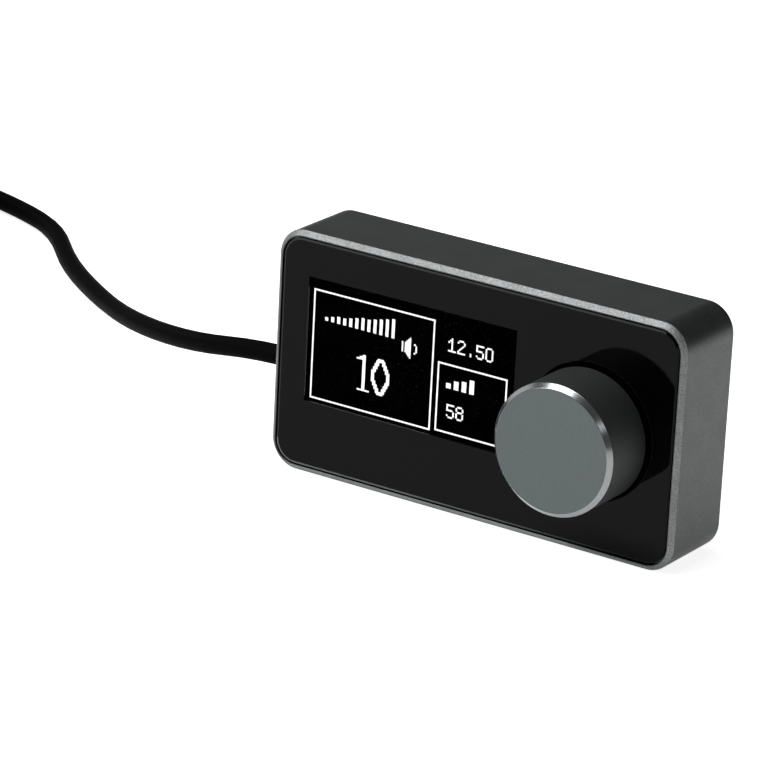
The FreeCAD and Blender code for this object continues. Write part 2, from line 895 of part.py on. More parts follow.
detent = new_body("detent_spring", knob_x, knob_z)
detent_sketch = sketch_in(detent, "detent_outline", offset=flange_back)
circle(detent_sketch, 0, 0, size("encoder_cavity_radius") - play)
circle(detent_sketch, 0, 0, size("detent_bore"))
pad(detent, detent_sketch, size("detent_thickness"))

knob_front = -size("knob_reach")
insert_front = knob_front + size("knob_front_wall")
shaft_tip = insert_front + size("shaft_tip_gap")
shaft_radius = size("shaft_radius")
tip_chamfer = size("shaft_tip_chamfer")
shaft = new_body("encoder_shaft", knob_x, knob_z)
turned(
    shaft,
    [
        (0, shaft_tip),
        (shaft_radius - tip_chamfer, shaft_tip),
        (shaft_radius, shaft_tip + tip_chamfer),
        (shaft_radius, collar_front),
        (size("collar_radius"), collar_front),
        (size("collar_radius"), collar_back),
        (size("tail_radius"), collar_back),
        (size("tail_radius"), shaft_back),
        (0, shaft_back),
    ],
)
shaft_flat = sketch_in(shaft, "shaft_flat", offset=shaft_tip)
flat, past = size("shaft_flat"), shaft_radius + BEYOND
polygon(shaft_flat, [(-past, flat), (past, flat), (past, past), (-past, past)])
pocket(shaft, shaft_flat, size("shaft_flat_length"))

rotor = new_body("encoder_rotor", knob_x, knob_z)
rotor_sketch = sketch_in(rotor, "rotor_outline", offset=collar_back)
circle(rotor_sketch, 0, 0, size("rotor_radius"))
circle(rotor_sketch, 0, 0, size("tail_radius") + play)
pad(rotor, rotor_sketch, size("rotor_thickness"))

plunger = new_body("push_plunger", knob_x, knob_z)
turned(
    plunger,
    [
        (0, shaft_back),
        (size("plunger_radius"), shaft_back),
        (size("plunger_radius"), plunger_back),
        (size("plunger_tip_radius"), plunger_back),
        (size("plunger_tip_radius"), tip_back),
        (0, tip_back),
    ],
)

# snap dome under the plunger: a thin cap of a sphere, its rim on the base's floor
dome_radius = size("dome_radius")
dome_top = tip_back + play
dome_drop = (dome_floor - dome_top) * DOME_BEND_DROP
dome_inner = dome_top + size("dome_thickness")
dome = new_body("switch_dome", knob_x, knob_z)
turned(
    dome,
    [
        (0, dome_top),
        (dome_radius * DOME_BEND, dome_top + dome_drop),
        (dome_radius, dome_floor - size("dome_thickness") / 2),
        (dome_radius, dome_floor),
        (dome_radius * DOME_INNER_RIM, dome_floor),
        (dome_radius * DOME_INNER_BEND, dome_inner + dome_drop),
        (0, dome_inner),
    ],
)

terminals = [
    block(
        f"terminal_{i}",
        knob_x + x - size("terminal_width") / 2,
        board_front,
        knob_z + z - size("terminal_thickness") / 2,
        size("terminal_width"),
        size("board_thickness") + size("terminal_reach"),
        size("terminal_thickness"),
    )
    for i, (x, z) in enumerate(terminal_places, start=1)
]
group("encoder_terminals", terminals)

washer = new_body("bush_washer", knob_x, knob_z)
washer_front = size("panel_sunk") - size("washer_thickness")
washer_sketch = sketch_in(washer, "washer_outline", offset=washer_front)
circle(washer_sketch, 0, 0, size("washer_radius"))
circle(washer_sketch, 0, 0, bush_outer + play)
pad(washer, washer_sketch, size("washer_thickness"))

nut_half = size("nut_across") / 2
nut_thickness = size("nut_thickness")
nut_front = washer_front - nut_thickness
prism = doc.addObject("Part::Prism", "nut_prism")
prism.Polygon = 6
prism.Placement.Rotation = BACKWARDS
bind(prism, "Circumradius", size("nut_across") / math.sqrt(3))
bind(prism, "Height", nut_thickness)
put(prism, knob_x, nut_front, knob_z)
nut_root = nut_half + nut_thickness * NUT_CONE_SLOPE
nut_cone = cone("nut_cone", knob_x, nut_front, knob_z, nut_half, nut_root, nut_thickness)
rounded_nut = doc.addObject("Part::MultiCommon", "nut_rounded")
rounded_nut.Shapes = [prism, nut_cone]
bore_length = nut_thickness + 2 * BEYOND
nut_bore = rod("nut_bore", knob_x, nut_front - BEYOND, knob_z, bush_outer + play, bore_length)
keep(cut("bush_nut", rounded_nut, nut_bore), "bush_nut")

# knob: a turned metal cap over a moulded insert whose split boss grips the flatted shaft
cap_outer = size("knob_radius")
cap_back = -size("knob_gap")
cap_inner = cap_outer - size("knob_side_wall")
cap = new_body("knob_cap", knob_x, knob_z)
turned(
    cap,
    [
        (0, knob_front),
        (cap_outer - size("knob_chamfer"), knob_front),
        (cap_outer, knob_front + size("knob_chamfer")),
        (cap_outer, cap_back - size("knob_rear_chamfer")),
        (cap_outer - size("knob_rear_chamfer"), cap_back),
        (cap_inner, cap_back),
        (cap_inner, insert_front),
        (0, insert_front),
    ],
)

insert_outer = cap_inner - play
insert_back = cap_back - size("insert_sunk")
insert_floor = insert_front + size("insert_web")
sleeve_inner = insert_outer - size("insert_sleeve")
boss_back = knob_front + size("insert_boss_back")
boss_radius = shaft_radius + size("insert_boss_wall")
insert = new_body("knob_insert", knob_x, knob_z)
turned(
    insert,
    [
        (0, insert_front),
        (insert_outer, insert_front),
        (insert_outer, insert_back),
        (sleeve_inner, insert_back),
        (sleeve_inner, insert_floor),
        (boss_radius, insert_floor),
        (boss_radius, boss_back),
        (0, boss_back),
    ],
)
insert_ribs = sketch_in(insert, "insert_ribs", offset=insert_floor)
rib_half = size("insert_rib") / 2
for sign in (-1, 1):
    near = (boss_radius - size("insert_rib_overlap")) * sign
    far = (sleeve_inner + size("insert_rib_overlap")) * sign
    across = [(near, -rib_half), (far, -rib_half), (far, rib_half), (near, rib_half)]
    polygon(insert_ribs, across)
    polygon(insert_ribs, [(z, x) for x, z in across])
pad(insert, insert_ribs, size("insert_rib_length"))
insert_bore = sketch_in(insert, "insert_bore", offset=insert_front)
circle(insert_bore, 0, 0, shaft_radius + play)
pocket(insert, insert_bore, boss_back - insert_front)
insert_flat = sketch_in(insert, "insert_flat", offset=insert_front)
reach = shaft_radius - size("insert_flat_inset")
near, far = flat + play, shaft_radius + size("insert_flat_overlap")
polygon(insert_flat, [(-reach, near), (reach, near), (reach, far), (-reach, far)])
pad(insert, insert_flat, size("shaft_flat_length"))
insert_slot = sketch_in(insert, "insert_slot", offset=boss_back)
half, reach = size("insert_slot") / 2, boss_radius + play
polygon(insert_slot, [(-reach, -half), (reach, -half), (reach, half), (-reach, half)])
pocket(insert, insert_slot, size("insert_slot_length"), reverse=True)

collet = new_body("collet_ring", knob_x, knob_z)
ring_front = boss_back - size("collet_ring_inset") - size("collet_ring_width")
collet_sketch = sketch_in(collet, "collet_outline", offset=ring_front)
circle(collet_sketch, 0, 0, boss_radius + play + size("collet_ring_thickness"))
circle(collet_sketch, 0, 0, boss_radius + play)
pad(collet, collet_sketch, size("collet_ring_width"))

# main board with its corners cut round the corner posts and its left side round the cable
board = new_body("main_board")
board_outline = sketch_in(board, "board_outline", offset=board_front)
board_inset = wall + size("board_play")
board_side = half_width - board_inset
board_top = height - board_inset
rounded(board_outline, -board_side, board_side, board_inset, board_top, size("board_corner"))
for x, z in board_posts:
    circle(board_outline, x, z, size("screw_hole"))
for x, z in terminal_places:
    circle(board_outline, knob_x + x, knob_z + z, size("terminal_hole"))
leg_hole_width = size("encoder_sheet") + size("leg_hole_play") * 2
leg_hole_height = size("encoder_leg_width") + size("leg_hole_play") * 2
for sign in (-1, 1):
    leg_x = knob_x + (side_half + size("encoder_sheet") / 2) * sign
    hole_corner = size("leg_hole_corner")
    around(board_outline, leg_x, knob_z, leg_hole_width, leg_hole_height, hole_corner)
pad(board, board_outline, size("board_thickness"))
board_cuts = sketch_in(board, "board_cuts", offset=board_front)
post_room = size("corner_post_radius") + size("corner_post_play")
outside_z = Size(float(-BEYOND), f"(0 - {BEYOND})")
for sign in (-1, 1):
    far, near = (half_width + BEYOND) * sign, (post_x - post_room) * sign
    for edge_z, notch_z in (
        (outside_z, corner_radius + post_room),
        (height + BEYOND, height - corner_radius - post_room),
    ):
        polygon(board_cuts, [(far, edge_z), (near, edge_z), (near, notch_z), (far, notch_z)])
notch_half = size("grommet_inner_radius") + size("corner_post_play")
notch_low, notch_high = cable_z - notch_half, cable_z + notch_half
notch_end = size("cable_inside") + size("corner_post_play") - half_width
polygon(
    board_cuts,
    [
        (-half_width, notch_low),
        (notch_end, notch_low),
        (notch_end, notch_high),
        (-half_width, notch_high),
    ],
)
pocket(board, board_cuts, size("board_thickness"))


def cross_recess(name, x, y, z):
    """Two crossed slots, sunk into a screw's head that ends at the depth y."""
    width, length, sunk = size("cross_width"), size("cross_length"), size("cross_depth")
    bars = [
        block(name + "_bar_x", x - length / 2, y - sunk, z - width / 2, length, sunk, width),
        block(name + "_bar_z", x - width / 2, y - sunk, z - length / 2, width, sunk, length),
    ]
    return fuse(name, bars)


def screw(name, shank, head, recess_cut):
    return cut(name, fuse(name + "_solid", [shank, head]), recess_cut)


screw_radius = size("screw_radius")
head_radius = size("screw_head_radius")
board_screws = []
for i, (x, z) in enumerate(board_posts, start=1):
    length, head_height = size("board_screw_length"), size("board_screw_head")
    shank = rod(f"board_shank_{i}", x, board_back - length, z, screw_radius, length)
    head = rod(f"board_head_{i}", x, board_back, z, head_radius, head_height)
    recess_cut = cross_recess(f"board_cross_{i}", x, board_back + head_height, z)
    board_screws.append(screw(f"board_screw_{i}", shank, head, recess_cut))
group("board_screws", board_screws)

processor_half = size("processor_side") / 2
kept_block(
    "processor",
    display_x + size("processor_right") - processor_half,
    board_back,
    height / 2 + size("processor_up") - processor_half,
    size("processor_side"),
    size("processor_thickness"),
    size("processor_side"),
)

# smaller chips on the board's rear: name, then the edge or middle that each keeps to and
# its distance from it, across and upwards, then width, height and thickness
SMALL_CHIPS = [
    ("regulator", -half_width, 11.3, 0, 23.5, 6.5, 3.6, 1.5),
    ("bus_driver", -half_width, 18.8, 0, 14.0, 5.0, 4.0, 1.4),
    ("memory_chip", knob_x, -16.3, height, -9.9, 5.0, 4.0, 1.4),
    ("crystal", display_x, 6.5, 0, 10.6, 5.0, 3.2, 1.0),
    ("inductor", -half_width, 11.3, 0, 15.5, 4.0, 4.0, 1.6),
]
chips = [
    block(name, x + right - wide / 2, board_back, z + up - tall / 2, wide, thick, tall)
    for name, x, right, z, up, wide, tall, thick in SMALL_CHIPS
]
group("board_chips", chips)

# rear cover with countersunk screws in the corner posts
cover = new_body("rear_cover")
cover_outline = sketch_in(cover, "cover_outline", offset=cover_seat)
outline(cover_outline, size("cover_rim") + size("cover_gap"))
for x, z in corner_posts:
    circle(cover_outline, x, z, size("screw_hole"))
pad(cover, cover_outline, size("cover_thickness"))
chamfer(
    cover,
    "countersinks",
    lambda e: at_depth(e, depth) and round_edge(e, size("screw_hole")),
    head_radius + play - size("screw_hole"),
)

cover_screws = []
head_depth = head_radius - screw_radius
shank_start = cover_seat - size("screw_depth") + size("screw_end_gap")
shank_length = depth - head_depth - shank_start
for i, (x, z) in enumerate(corner_posts, start=1):
    shank = rod(f"cover_shank_{i}", x, shank_start, z, screw_radius, shank_length)
    head_start = depth - head_depth
    head = cone(f"cover_head_{i}", x, head_start, z, screw_radius, head_radius, head_depth)
    recess_cut = cross_recess(f"cover_cross_{i}", x, depth, z)
    cover_screws.append(screw(f"cover_screw_{i}", shank, head, recess_cut))
group("cover_screws", cover_screws)

# cable entry: a rubber grommet in the left wall, the cable's fixed end with a tie behind the
# wall, its four cores, and the plug and socket on the board
grommet = new_body("cable_grommet", -half_width, cable_z, cable_y)
cable_bore = cable + play
flange = size("grommet_flange")
turned(
    grommet,
    [
        (-size("grommet_nose"), cable_bore),
        (-size("grommet_nose"), size("grommet_tip_radius")),
        (-flange, size("grommet_root_radius")),
        (-flange, size("grommet_flange_radius")),
        (0, size("grommet_flange_radius")),
        (0, size("grommet_neck_radius")),
        (wall, size("grommet_neck_radius")),
        (wall, size("grommet_inner_radius")),
        (wall + flange, size("grommet_inner_radius")),
        (wall + flange, cable_bore),
    ],
    axis="H_Axis",
)


def sideways(name, x, radius, length):
    """A cylinder along X on the cable hole's axis."""
    return rod(name, x, cable_y, cable_z, radius, length, SIDEWAYS)


keep(sideways("cable_tail", -half_width, cable, size("cable_inside")), "cable_tail")
tie_radius = cable + size("inner_tie_thickness")
tie_width = size("inner_tie_width")
tie_outer = sideways("inner_tie_outer", inner_tie_start, tie_radius, tie_width)
tie_inner = sideways("inner_tie_inner", inner_tie_start, cable_bore, tie_width)
keep(cut("inner_tie", tie_outer, tie_inner), "inner_tie")

plug_wide = size("inner_plug_width")
plug_tall = size("inner_plug_height")
plug_deep = size("inner_plug_depth")
plug_reach = size("inner_plug_reach")
socket_wall = size("socket_wall")
socket_left = size("socket_from_left") - half_width
plug_front = board_front - socket_wall - plug_tall
plug_low = cable_z - plug_wide / 2
socket_block = block(
    "socket_block",
    socket_left,
    plug_front - socket_wall,
    plug_low - socket_wall,
    plug_deep + size("socket_back_wall"),
    plug_tall + socket_wall * 2,
    plug_wide + socket_wall * 2,
)
socket_hollow = block(
    "socket_hollow",
    socket_left,
    plug_front - play,
    plug_low - play,
    plug_deep,
    plug_tall + play * 2,
    plug_wide + play * 2,
)
keep(cut("board_socket", socket_block, socket_hollow), "board_socket")
kept_block(
    "inner_plug",
    socket_left - plug_reach,
    plug_front,
    plug_low,
    plug_deep + plug_reach,
    plug_tall,
    plug_wide,
)


def arc_or_line(start, way, end):
    """The arc that leaves start along way and ends at end, or a line where they are in line."""
    chord = end - start
    side_way = chord - way * chord.dot(way)
    if side_way.Length < 1e-7:
        return Part.LineSegment(start, end)
    side_way.normalize()
    radius = chord.dot(chord) / (2 * chord.dot(side_way))
    centre = start + side_way * radius
    to_middle = ((start + end) * 0.5 - centre).normalize()
    return Part.Arc(start, centre + to_middle * radius, end)


def biarc(start, start_way, end, end_way):
    """Two arcs, each from its own end, that meet smoothly between two places."""
    chord = end - start
    along = chord.dot(start_way + end_way)
    across = 2 * (1 - start_way.dot(end_way))
    square = chord.dot(chord)
    if across < 1e-9:
        reach = square / (2 * along)
    else:
        reach = (math.sqrt(along * along + across * square) - along) / across
    middle = (start + start_way * reach + end - end_way * reach) * 0.5
    return [arc_or_line(start, start_way, middle), arc_or_line(end, end_way * -1, middle)]


def along_curve(curve, share):
    first, last = curve.FirstParameter, curve.LastParameter
    return curve.value(first + (last - first) * share)


def tube(curves, start, way, radius):
    """A round solid tube along curves that join end to end from start."""
    path = Part.Wire(Part.__sortEdges__([c.toShape() for c in curves]))
    ring = Part.Wire(Part.makeCircle(radius, start, way))
    return path.makePipeShell([ring], True, False)


def set_shape(label, shape):
    feature = doc.addObject("Part::Feature", label)
    feature.Shape = shape
    feature.Placement = FreeCAD.Placement()
    return keep(feature, label)


# the four cores spread from the cable's end to the plug's row of contacts
cable_mm = number(cable)
exit_place = Vector(-number(half_width), number(front + cable_y), number(cable_z))
cores_start = exit_place + Vector(number(size("cable_inside")), 0, 0)
core_row_x = number(socket_left - plug_reach)
core_row_y = number(front + plug_front + plug_tall / 2)
core_offset = number(size("core_spacing")) / 2
to_right = Vector(1, 0, 0)
cores = []
for i, (side_z, side_y) in enumerate(((-1, -1), (-1, 1), (1, -1), (1, 1))):
    start = cores_start + Vector(0, side_y * core_offset, side_z * core_offset)
    step = number(size("contact_pitch")) * (i - 1.5)
    end = Vector(core_row_x, core_row_y, exit_place.z + step)
    curves = biarc(start, to_right, end, to_right)
    cores.append(tube(curves, start, to_right, number(size("core_radius"))))
set_shape("cable_cores", Part.makeCompound(cores))

# free cable: straight runs joined by arcs that touch both. Its first run starts at the wall.
route = [Vector(*place) for place in CABLE_ROUTE]
route[0] = exit_place
route[1] = Vector(route[1].x, exit_place.y, exit_place.z)
run_curves = []
bend_radii = []
run_start = route[0]
for before, corner, after in zip(route, route[1:], route[2:]):
    way_in = (corner - before).normalize()
    way_out = (after - corner).normalize()
    trim = CABLE_TRIM * min((corner - before).Length, (after - corner).Length)
    radius = trim / math.tan(way_in.getAngle(way_out) / 2)
    arc_start = corner - way_in * trim
    arc_end = corner + way_out * trim
    centre = corner + (way_out - way_in).normalize() * math.hypot(radius, trim)
    arc_middle = centre + (corner - centre).normalize() * radius
    run_curves.append(Part.LineSegment(run_start, arc_start))
    run_curves.append(Part.Arc(arc_start, arc_middle, arc_end))
    bend_radii.append(round(radius, 1))
    run_start = arc_end
run_curves.append(Part.LineSegment(run_start, route[-1]))
run_length = sum(c.length() for c in run_curves)
run_tube = tube(run_curves, route[0], Vector(-1, 0, 0), cable_mm)
set_shape("cord_run", run_tube)
section = math.pi * cable_mm**2
print("cable bend radii", bend_radii)
print(f"free cable {run_length:.1f} mm, volume {run_tube.Volume:.1f} mm3")
print(f"its section times its length is {section * run_length:.1f} mm3")

# coil: layers that spiral in and out again, and a last half turn that climbs onto them
pitch = 2 * cable_mm + number(size("coil_gap"))
coil_radius = number(size("coil_radius"))
tie_room = number(size("tie_room"))
heading = (route[-1] - route[-2]).normalize()
to_centre = Vector(-heading.y, heading.x, 0)
coil_start = route[-1] + heading * (2 * cable_mm)
coil_centre = coil_start + to_centre * coil_radius
start_angle = math.atan2(-to_centre.y, -to_centre.x)
coil_rise = (COIL_LAYERS - 1) * pitch
plug_rise = cable_mm + number(size("plug_height")) / 2 + tie_room


def ramp(share):
    """A smooth step from 0 to 1."""
    return (1 - math.cos(math.pi * min(1.0, max(0.0, share)))) / 2


def layer_radius(turn):
    phase = turn % (2 * LAYER_TURNS)
    return coil_radius - pitch * min(phase, 2 * LAYER_TURNS - phase)


def coil_place(turn):
    """A place on the coil's centre line after that many turns."""
    rise = 0.0
    for change in range(LAYER_TURNS, COIL_TURNS, LAYER_TURNS):
        rise += pitch * ramp((turn - change) * 2 + 0.5)
    rise += plug_rise * ramp((turn - CLIMB_START) / CLIMB_UP_TURNS)
    radius = layer_radius(turn) - CLIMB_IN * ramp((turn - CLIMB_START) * 2 - 0.2)
    angle = start_angle + 2 * math.pi * turn
    return coil_centre + Vector(radius * math.cos(angle), radius * math.sin(angle), rise)


def coil_way(turn):
    return (coil_place(turn + 0.01) - coil_place(turn - 0.01)).normalize()


end_way = coil_way(COIL_TURNS - 0.01)
end_way.z = 0
end_way.normalize()
stations = [i / 4 for i in range(round(CLIMB_START * 4) + 1)]
stations += [CLIMB_START + i / 8 for i in range(1, 5)]
ways = [heading] + [coil_way(turn) for turn in stations[1:-1]] + [end_way]
coil_curves = [Part.LineSegment(route[-1], coil_start)]
coil_points = []
for i, (turn, following) in enumerate(zip(stations, stations[1:])):
    first, second = biarc(coil_place(turn), ways[i], coil_place(following), ways[i + 1])
    coil_curves += [first, second]
    steps = round(POINTS_PER_TURN * (following - turn) / 2)
    coil_points += [along_curve(first, n / steps) for n in range(steps)]
    coil_points += [along_curve(second, 1 - n / steps) for n in range(steps)]
coil_end = coil_place(COIL_TURNS)
plug_at = coil_end + end_way * (2 * cable_mm)
coil_curves.append(Part.LineSegment(coil_end, plug_at))
coil_tube = tube(coil_curves, route[-1], heading, cable_mm)
set_shape("cord_coil", coil_tube)
coil_length = sum(c.length() for c in coil_curves)
nearest = min(
    (coil_points[i] - coil_points[j]).Length
    for i in range(len(coil_points))
    for whole_turns in range(1, COIL_TURNS)
    for j in range(i + whole_turns * POINTS_PER_TURN - 5, i + whole_turns * POINTS_PER_TURN + 6)
    if j < len(coil_points)
)
print(f"coil {coil_length:.0f} mm, volume {coil_tube.Volume:.0f} mm3")
print(f"its section times its length is {section * coil_length:.0f} mm3")
print(f"least gap between turns {nearest - 2 * cable_mm:.2f} mm")
print(f"whole free cable {run_length + coil_length:.0f} mm")

# two flat straps hold the coil, and it lies on them
strap = number(size("tie_thickness"))
strap_width = number(size("tie_width"))
straps = []
for share in STRAP_PLACES:
    radii = [layer_radius(n + share) for n in range(COIL_TURNS)]
    inner = min(radii) - cable_mm - tie_room
    outer = max(radii) + cable_mm + tie_room
    low_side = route[-1].z - cable_mm - tie_room
    high_side = route[-1].z + coil_rise + cable_mm + tie_room
    ring_outside = Part.makeBox(
        outer - inner + 2 * strap,
        strap_width,
        high_side - low_side + 2 * strap,
        Vector(inner - strap, -strap_width / 2, low_side - strap),
    )
    ring_inside = Part.makeBox(
        outer - inner,
        strap_width,
        high_side - low_side,
        Vector(inner, -strap_width / 2, low_side),
    )
    ring = ring_outside.cut(ring_inside)
    angle = math.degrees(start_angle) + 360 * share
    ring.Placement = FreeCAD.Placement(
        Vector(coil_centre.x, coil_centre.y, 0), FreeCAD.Rotation(Vector(0, 0, 1), angle)
    )
    straps.append(ring)
set_shape("coil_ties", Part.makeCompound(straps))

# modular plug and its boot, in line with the cable's end, lying on the coil
# modular plug and its boot, in line with the cable's end, lying on the coil
plug_turn = FreeCAD.Rotation(Vector(1, 0, 0), end_way)
boot_length = size("plug_boot_length")
plug_end = boot_length + size("plug_length")
plug_half_width = size("plug_width") / 2
plug_half_height = size("plug_height") / 2


def plug_piece(label):
    """A body whose own zero is the cable's end and whose X runs on from it."""
    body = doc.addObject("PartDesign::Body", label)
    body.Placement = FreeCAD.Placement(plug_at, plug_turn)
    return keep(body, label)


boot = plug_piece("plug_boot")
tip = size("plug_boot_tip")
taper = (size("plug_boot_root") - tip) / boot_length
groove_depth = size("boot_groove_depth")
boot_outline = [(0, 0), (0, tip)]
for i in range(BOOT_GROOVES):
    near = size("boot_groove_start") + size("boot_groove_pitch") * i
    far = near + size("boot_groove_width")
    near_radius, far_radius = tip + taper * near, tip + taper * far
    boot_outline += [(near, near_radius), (near, near_radius - groove_depth)]
    boot_outline += [(far, far_radius - groove_depth), (far, far_radius)]
boot_outline += [(boot_length, size("plug_boot_root")), (boot_length, 0)]
turned(boot, boot_outline, axis="H_Axis")

plug = plug_piece("plug_body")
plug_section = sketch_in(plug, "plug_section", "YZ_Plane", boot_length)
across, up = plug_half_width, plug_half_height
rounded(plug_section, -across, across, -up, up, size("plug_corner"))
pad(plug, plug_section, size("plug_length"), backwards=False)
latch = sketch_in(plug, "latch_side")
latch_nose = plug_end - size("latch_nose")
latch_root = plug_end - size("latch_root")
latch_rear = plug_end - size("latch_length")
latch_low = plug_half_height - size("latch_overlap")
latch_height = plug_half_height + size("latch_rise")
polygon(
    latch,
    [
        (latch_nose, latch_low),
        (latch_nose, plug_half_height + size("latch_thickness") / 2),
        (latch_rear, latch_height),
        (latch_rear, latch_height - size("latch_thickness")),
        (latch_root, latch_low),
    ],
)
pad_middle(plug, latch, size("latch_width"))

# each contact blade sits at the back and top of a slot that is open below and in front
blade_start = plug_end - size("blade_inset") - size("blade_length")
blade_low = size("blade_sunk") - plug_half_height
blade_half = size("blade_width") / 2
blade_slots = sketch_in(plug, "blade_slots", "XY_Plane", -plug_half_height)
blades = []
for i in range(PLUG_BLADES):
    middle = size("blade_pitch") * (i - (PLUG_BLADES - 1) / 2)
    low, high = middle - blade_half - play, middle + blade_half + play
    polygon(
        blade_slots, [(blade_start, low), (plug_end, low), (plug_end, high), (blade_start, high)]
    )
    blade = doc.addObject("Part::Box", f"blade_{i + 1}")
    bind(blade, "Length", size("blade_length"))
    bind(blade, "Width", size("blade_width"))
    bind(blade, "Height", size("blade_height"))
    place = Vector(number(blade_start), number(middle - blade_half), number(blade_low))
    blade.Placement = boot.Placement.multiply(FreeCAD.Placement(place, FreeCAD.Rotation()))
    blades.append(blade)
pocket(plug, blade_slots, size("blade_height") + size("blade_sunk"), reverse=True)
group("plug_contacts", blades)

# the finished pieces are checked, then each is written to a file of its own
doc.recompute()
failed = [o.Name for o in doc.Objects if "Invalid" in o.State or "Error" in o.State]
for piece in parts:
    if piece.Shape.isNull() or not piece.Shape.isValid() or not piece.Shape.Solids:
        failed.append(piece.Label)
if failed:
    raise SystemExit(f"these did not build: {failed}")

os.makedirs("parts", exist_ok=True)
for piece in parts:
    piece.Shape.exportStep(f"parts/{piece.Label}.step")
whole = FreeCAD.BoundBox()
for piece in parts:
    whole.add(piece.Shape.BoundBox)
print(len(parts), "sub-parts,", sum(len(p.Shape.Solids) for p in parts), "solids")
print(f"overall {whole.XLength:.1f} x {whole.YLength:.1f} x {whole.ZLength:.1f} mm")
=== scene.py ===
import math

import bmesh
import bpy
from mathutils import Matrix, Vector


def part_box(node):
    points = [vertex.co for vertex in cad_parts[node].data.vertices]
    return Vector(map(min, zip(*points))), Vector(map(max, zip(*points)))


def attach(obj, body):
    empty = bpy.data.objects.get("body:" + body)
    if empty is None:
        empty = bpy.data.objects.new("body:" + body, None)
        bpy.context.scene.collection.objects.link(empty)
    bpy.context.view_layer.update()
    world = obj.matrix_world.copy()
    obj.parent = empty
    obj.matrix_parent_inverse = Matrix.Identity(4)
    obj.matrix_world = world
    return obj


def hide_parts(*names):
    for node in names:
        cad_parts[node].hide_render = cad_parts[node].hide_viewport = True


# Wired amplifier remote control: a milled metal housing with a glossy front, a dot display and
# one push-and-turn knob, on a long round cable that is put away as a coil behind its left side.
# Lengths in the dictionaries are millimetres, but the cable's route and the lamps are in metres.
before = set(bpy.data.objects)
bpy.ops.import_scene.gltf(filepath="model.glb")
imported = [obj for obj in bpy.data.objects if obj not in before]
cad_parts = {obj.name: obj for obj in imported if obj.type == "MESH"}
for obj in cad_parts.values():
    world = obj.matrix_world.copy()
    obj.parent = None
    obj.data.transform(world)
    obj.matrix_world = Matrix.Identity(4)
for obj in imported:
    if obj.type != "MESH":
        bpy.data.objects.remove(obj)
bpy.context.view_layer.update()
scene = bpy.context.scene
scene.view_settings.view_transform = "Standard"
mm = 0.001
nearly = 0.01  # lengths closer than this count as the same
leastRadius = 0.02  # of a corner that an inset closes
quarterTurn = math.pi / 2
print("frame loaded:", len(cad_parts), "nodes")


def boxOf(name):
    # the low and the high corner of a solid of the frame, in millimetres
    return [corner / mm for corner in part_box(name)]


def newObject(name, data):
    made = bpy.data.objects.new(name, data)
    scene.collection.objects.link(made)
    return made


housingBox = boxOf("housing")
panelBox = boxOf("front_panel")
displayBox = boxOf("display_glass")
knobBox = boxOf("knob_cap")
knobMiddle = (knobBox[0] + knobBox[1]) / 2


# camera, placed as the photograph was taken
photoView = {
    "target": (-14.28, -1.7, 17.03),
    "azimuth": 32.90,
    "elevation": 19.80,
    "distance": 719.1,
    "roll": 2.973,
}
photoLens = {
    "length": 221.13,
    "clipStart": 10.0,
}


def aimed(target, azimuth, elevation, distance, roll=0.0):
    # looks at the target; azimuth 0 is in front of the remote, 90 on its right
    across, up = math.radians(azimuth), math.radians(elevation)
    level = math.cos(up)
    back = Vector((math.sin(across) * level, -math.cos(across) * level, math.sin(up)))
    right = Vector((0, 0, 1)).cross(back).normalized()
    turn = Matrix((right, back.cross(right), back)).transposed()
    turn = turn @ Matrix.Rotation(math.radians(roll), 3, "Z")
    return Matrix.Translation(Vector(target) * mm + back * distance * mm) @ turn.to_4x4()


cameraData = bpy.data.cameras.new("photoCamera")
cameraData.lens = photoLens["length"]
cameraData.clip_start = photoLens["clipStart"] * mm
camera = newObject("photoCamera", cameraData)
camera.matrix_world = aimed(**photoView)
scene.camera = camera
print("camera placed")


# cable: its free run and its coil are one spline
cableRoute = [
    (-0.0358, 0.0056, 0.0148),
    (-0.0435, 0.0056, 0.0148),
    (-0.0580, 0.0090, 0.0115),
    (-0.0760, 0.0194, 0.0074),
    (-0.0930, 0.0327, 0.0037),
    (-0.1140, 0.0497, 0.0016),
    (-0.1266, 0.0631, 0.0016),
    (-0.1390, 0.0688, 0.0016),
    (-0.1540, 0.0705, 0.0027),
    (-0.1675, 0.0694, 0.0027),
    (-0.1790, 0.0665, 0.0027),
]
cable = {
    "radius": 1.6,
    "length": 4970.0,
    "layers": 4,
    "turnsPerLayer": 6,
    "coilRadius": 43.0,
    "pitch": 3.7,
    "pointsPerTurn": 16,
    "changeTurns": 0.5,
    "climbStart": 23.5,
    "climbTurns": 0.36,
    "climbRise": 5.2,
    "climbIn": 15.0,
    "climbInWait": 0.2,
    "endStep": 0.01,
    "lead": 3.2,
    "sides": 4,
    "smoothness": 4,
}
coilTurns = cable["layers"] * cable["turnsPerLayer"]
lastRun = Vector(cableRoute[-1]) - Vector(cableRoute[-2])
heading = Vector((lastRun.x, lastRun.y, 0)).normalized()
toCentre = Vector((-heading.y, heading.x, 0))
coilStart = Vector(cableRoute[-1]) + heading * cable["lead"] * mm
coilCentre = coilStart + toCentre * cable["coilRadius"] * mm
startAngle = math.atan2(-toCentre.y, -toCentre.x)


def ramp(share):
    return (1 - math.cos(math.pi * min(1.0, max(0.0, share)))) / 2


def layerRadius(turn):
    # the turns spiral in over one layer and out over the next
    phase = turn % (2 * cable["turnsPerLayer"])
    steps = min(phase, 2 * cable["turnsPerLayer"] - phase)
    return cable["coilRadius"] - cable["pitch"] * steps


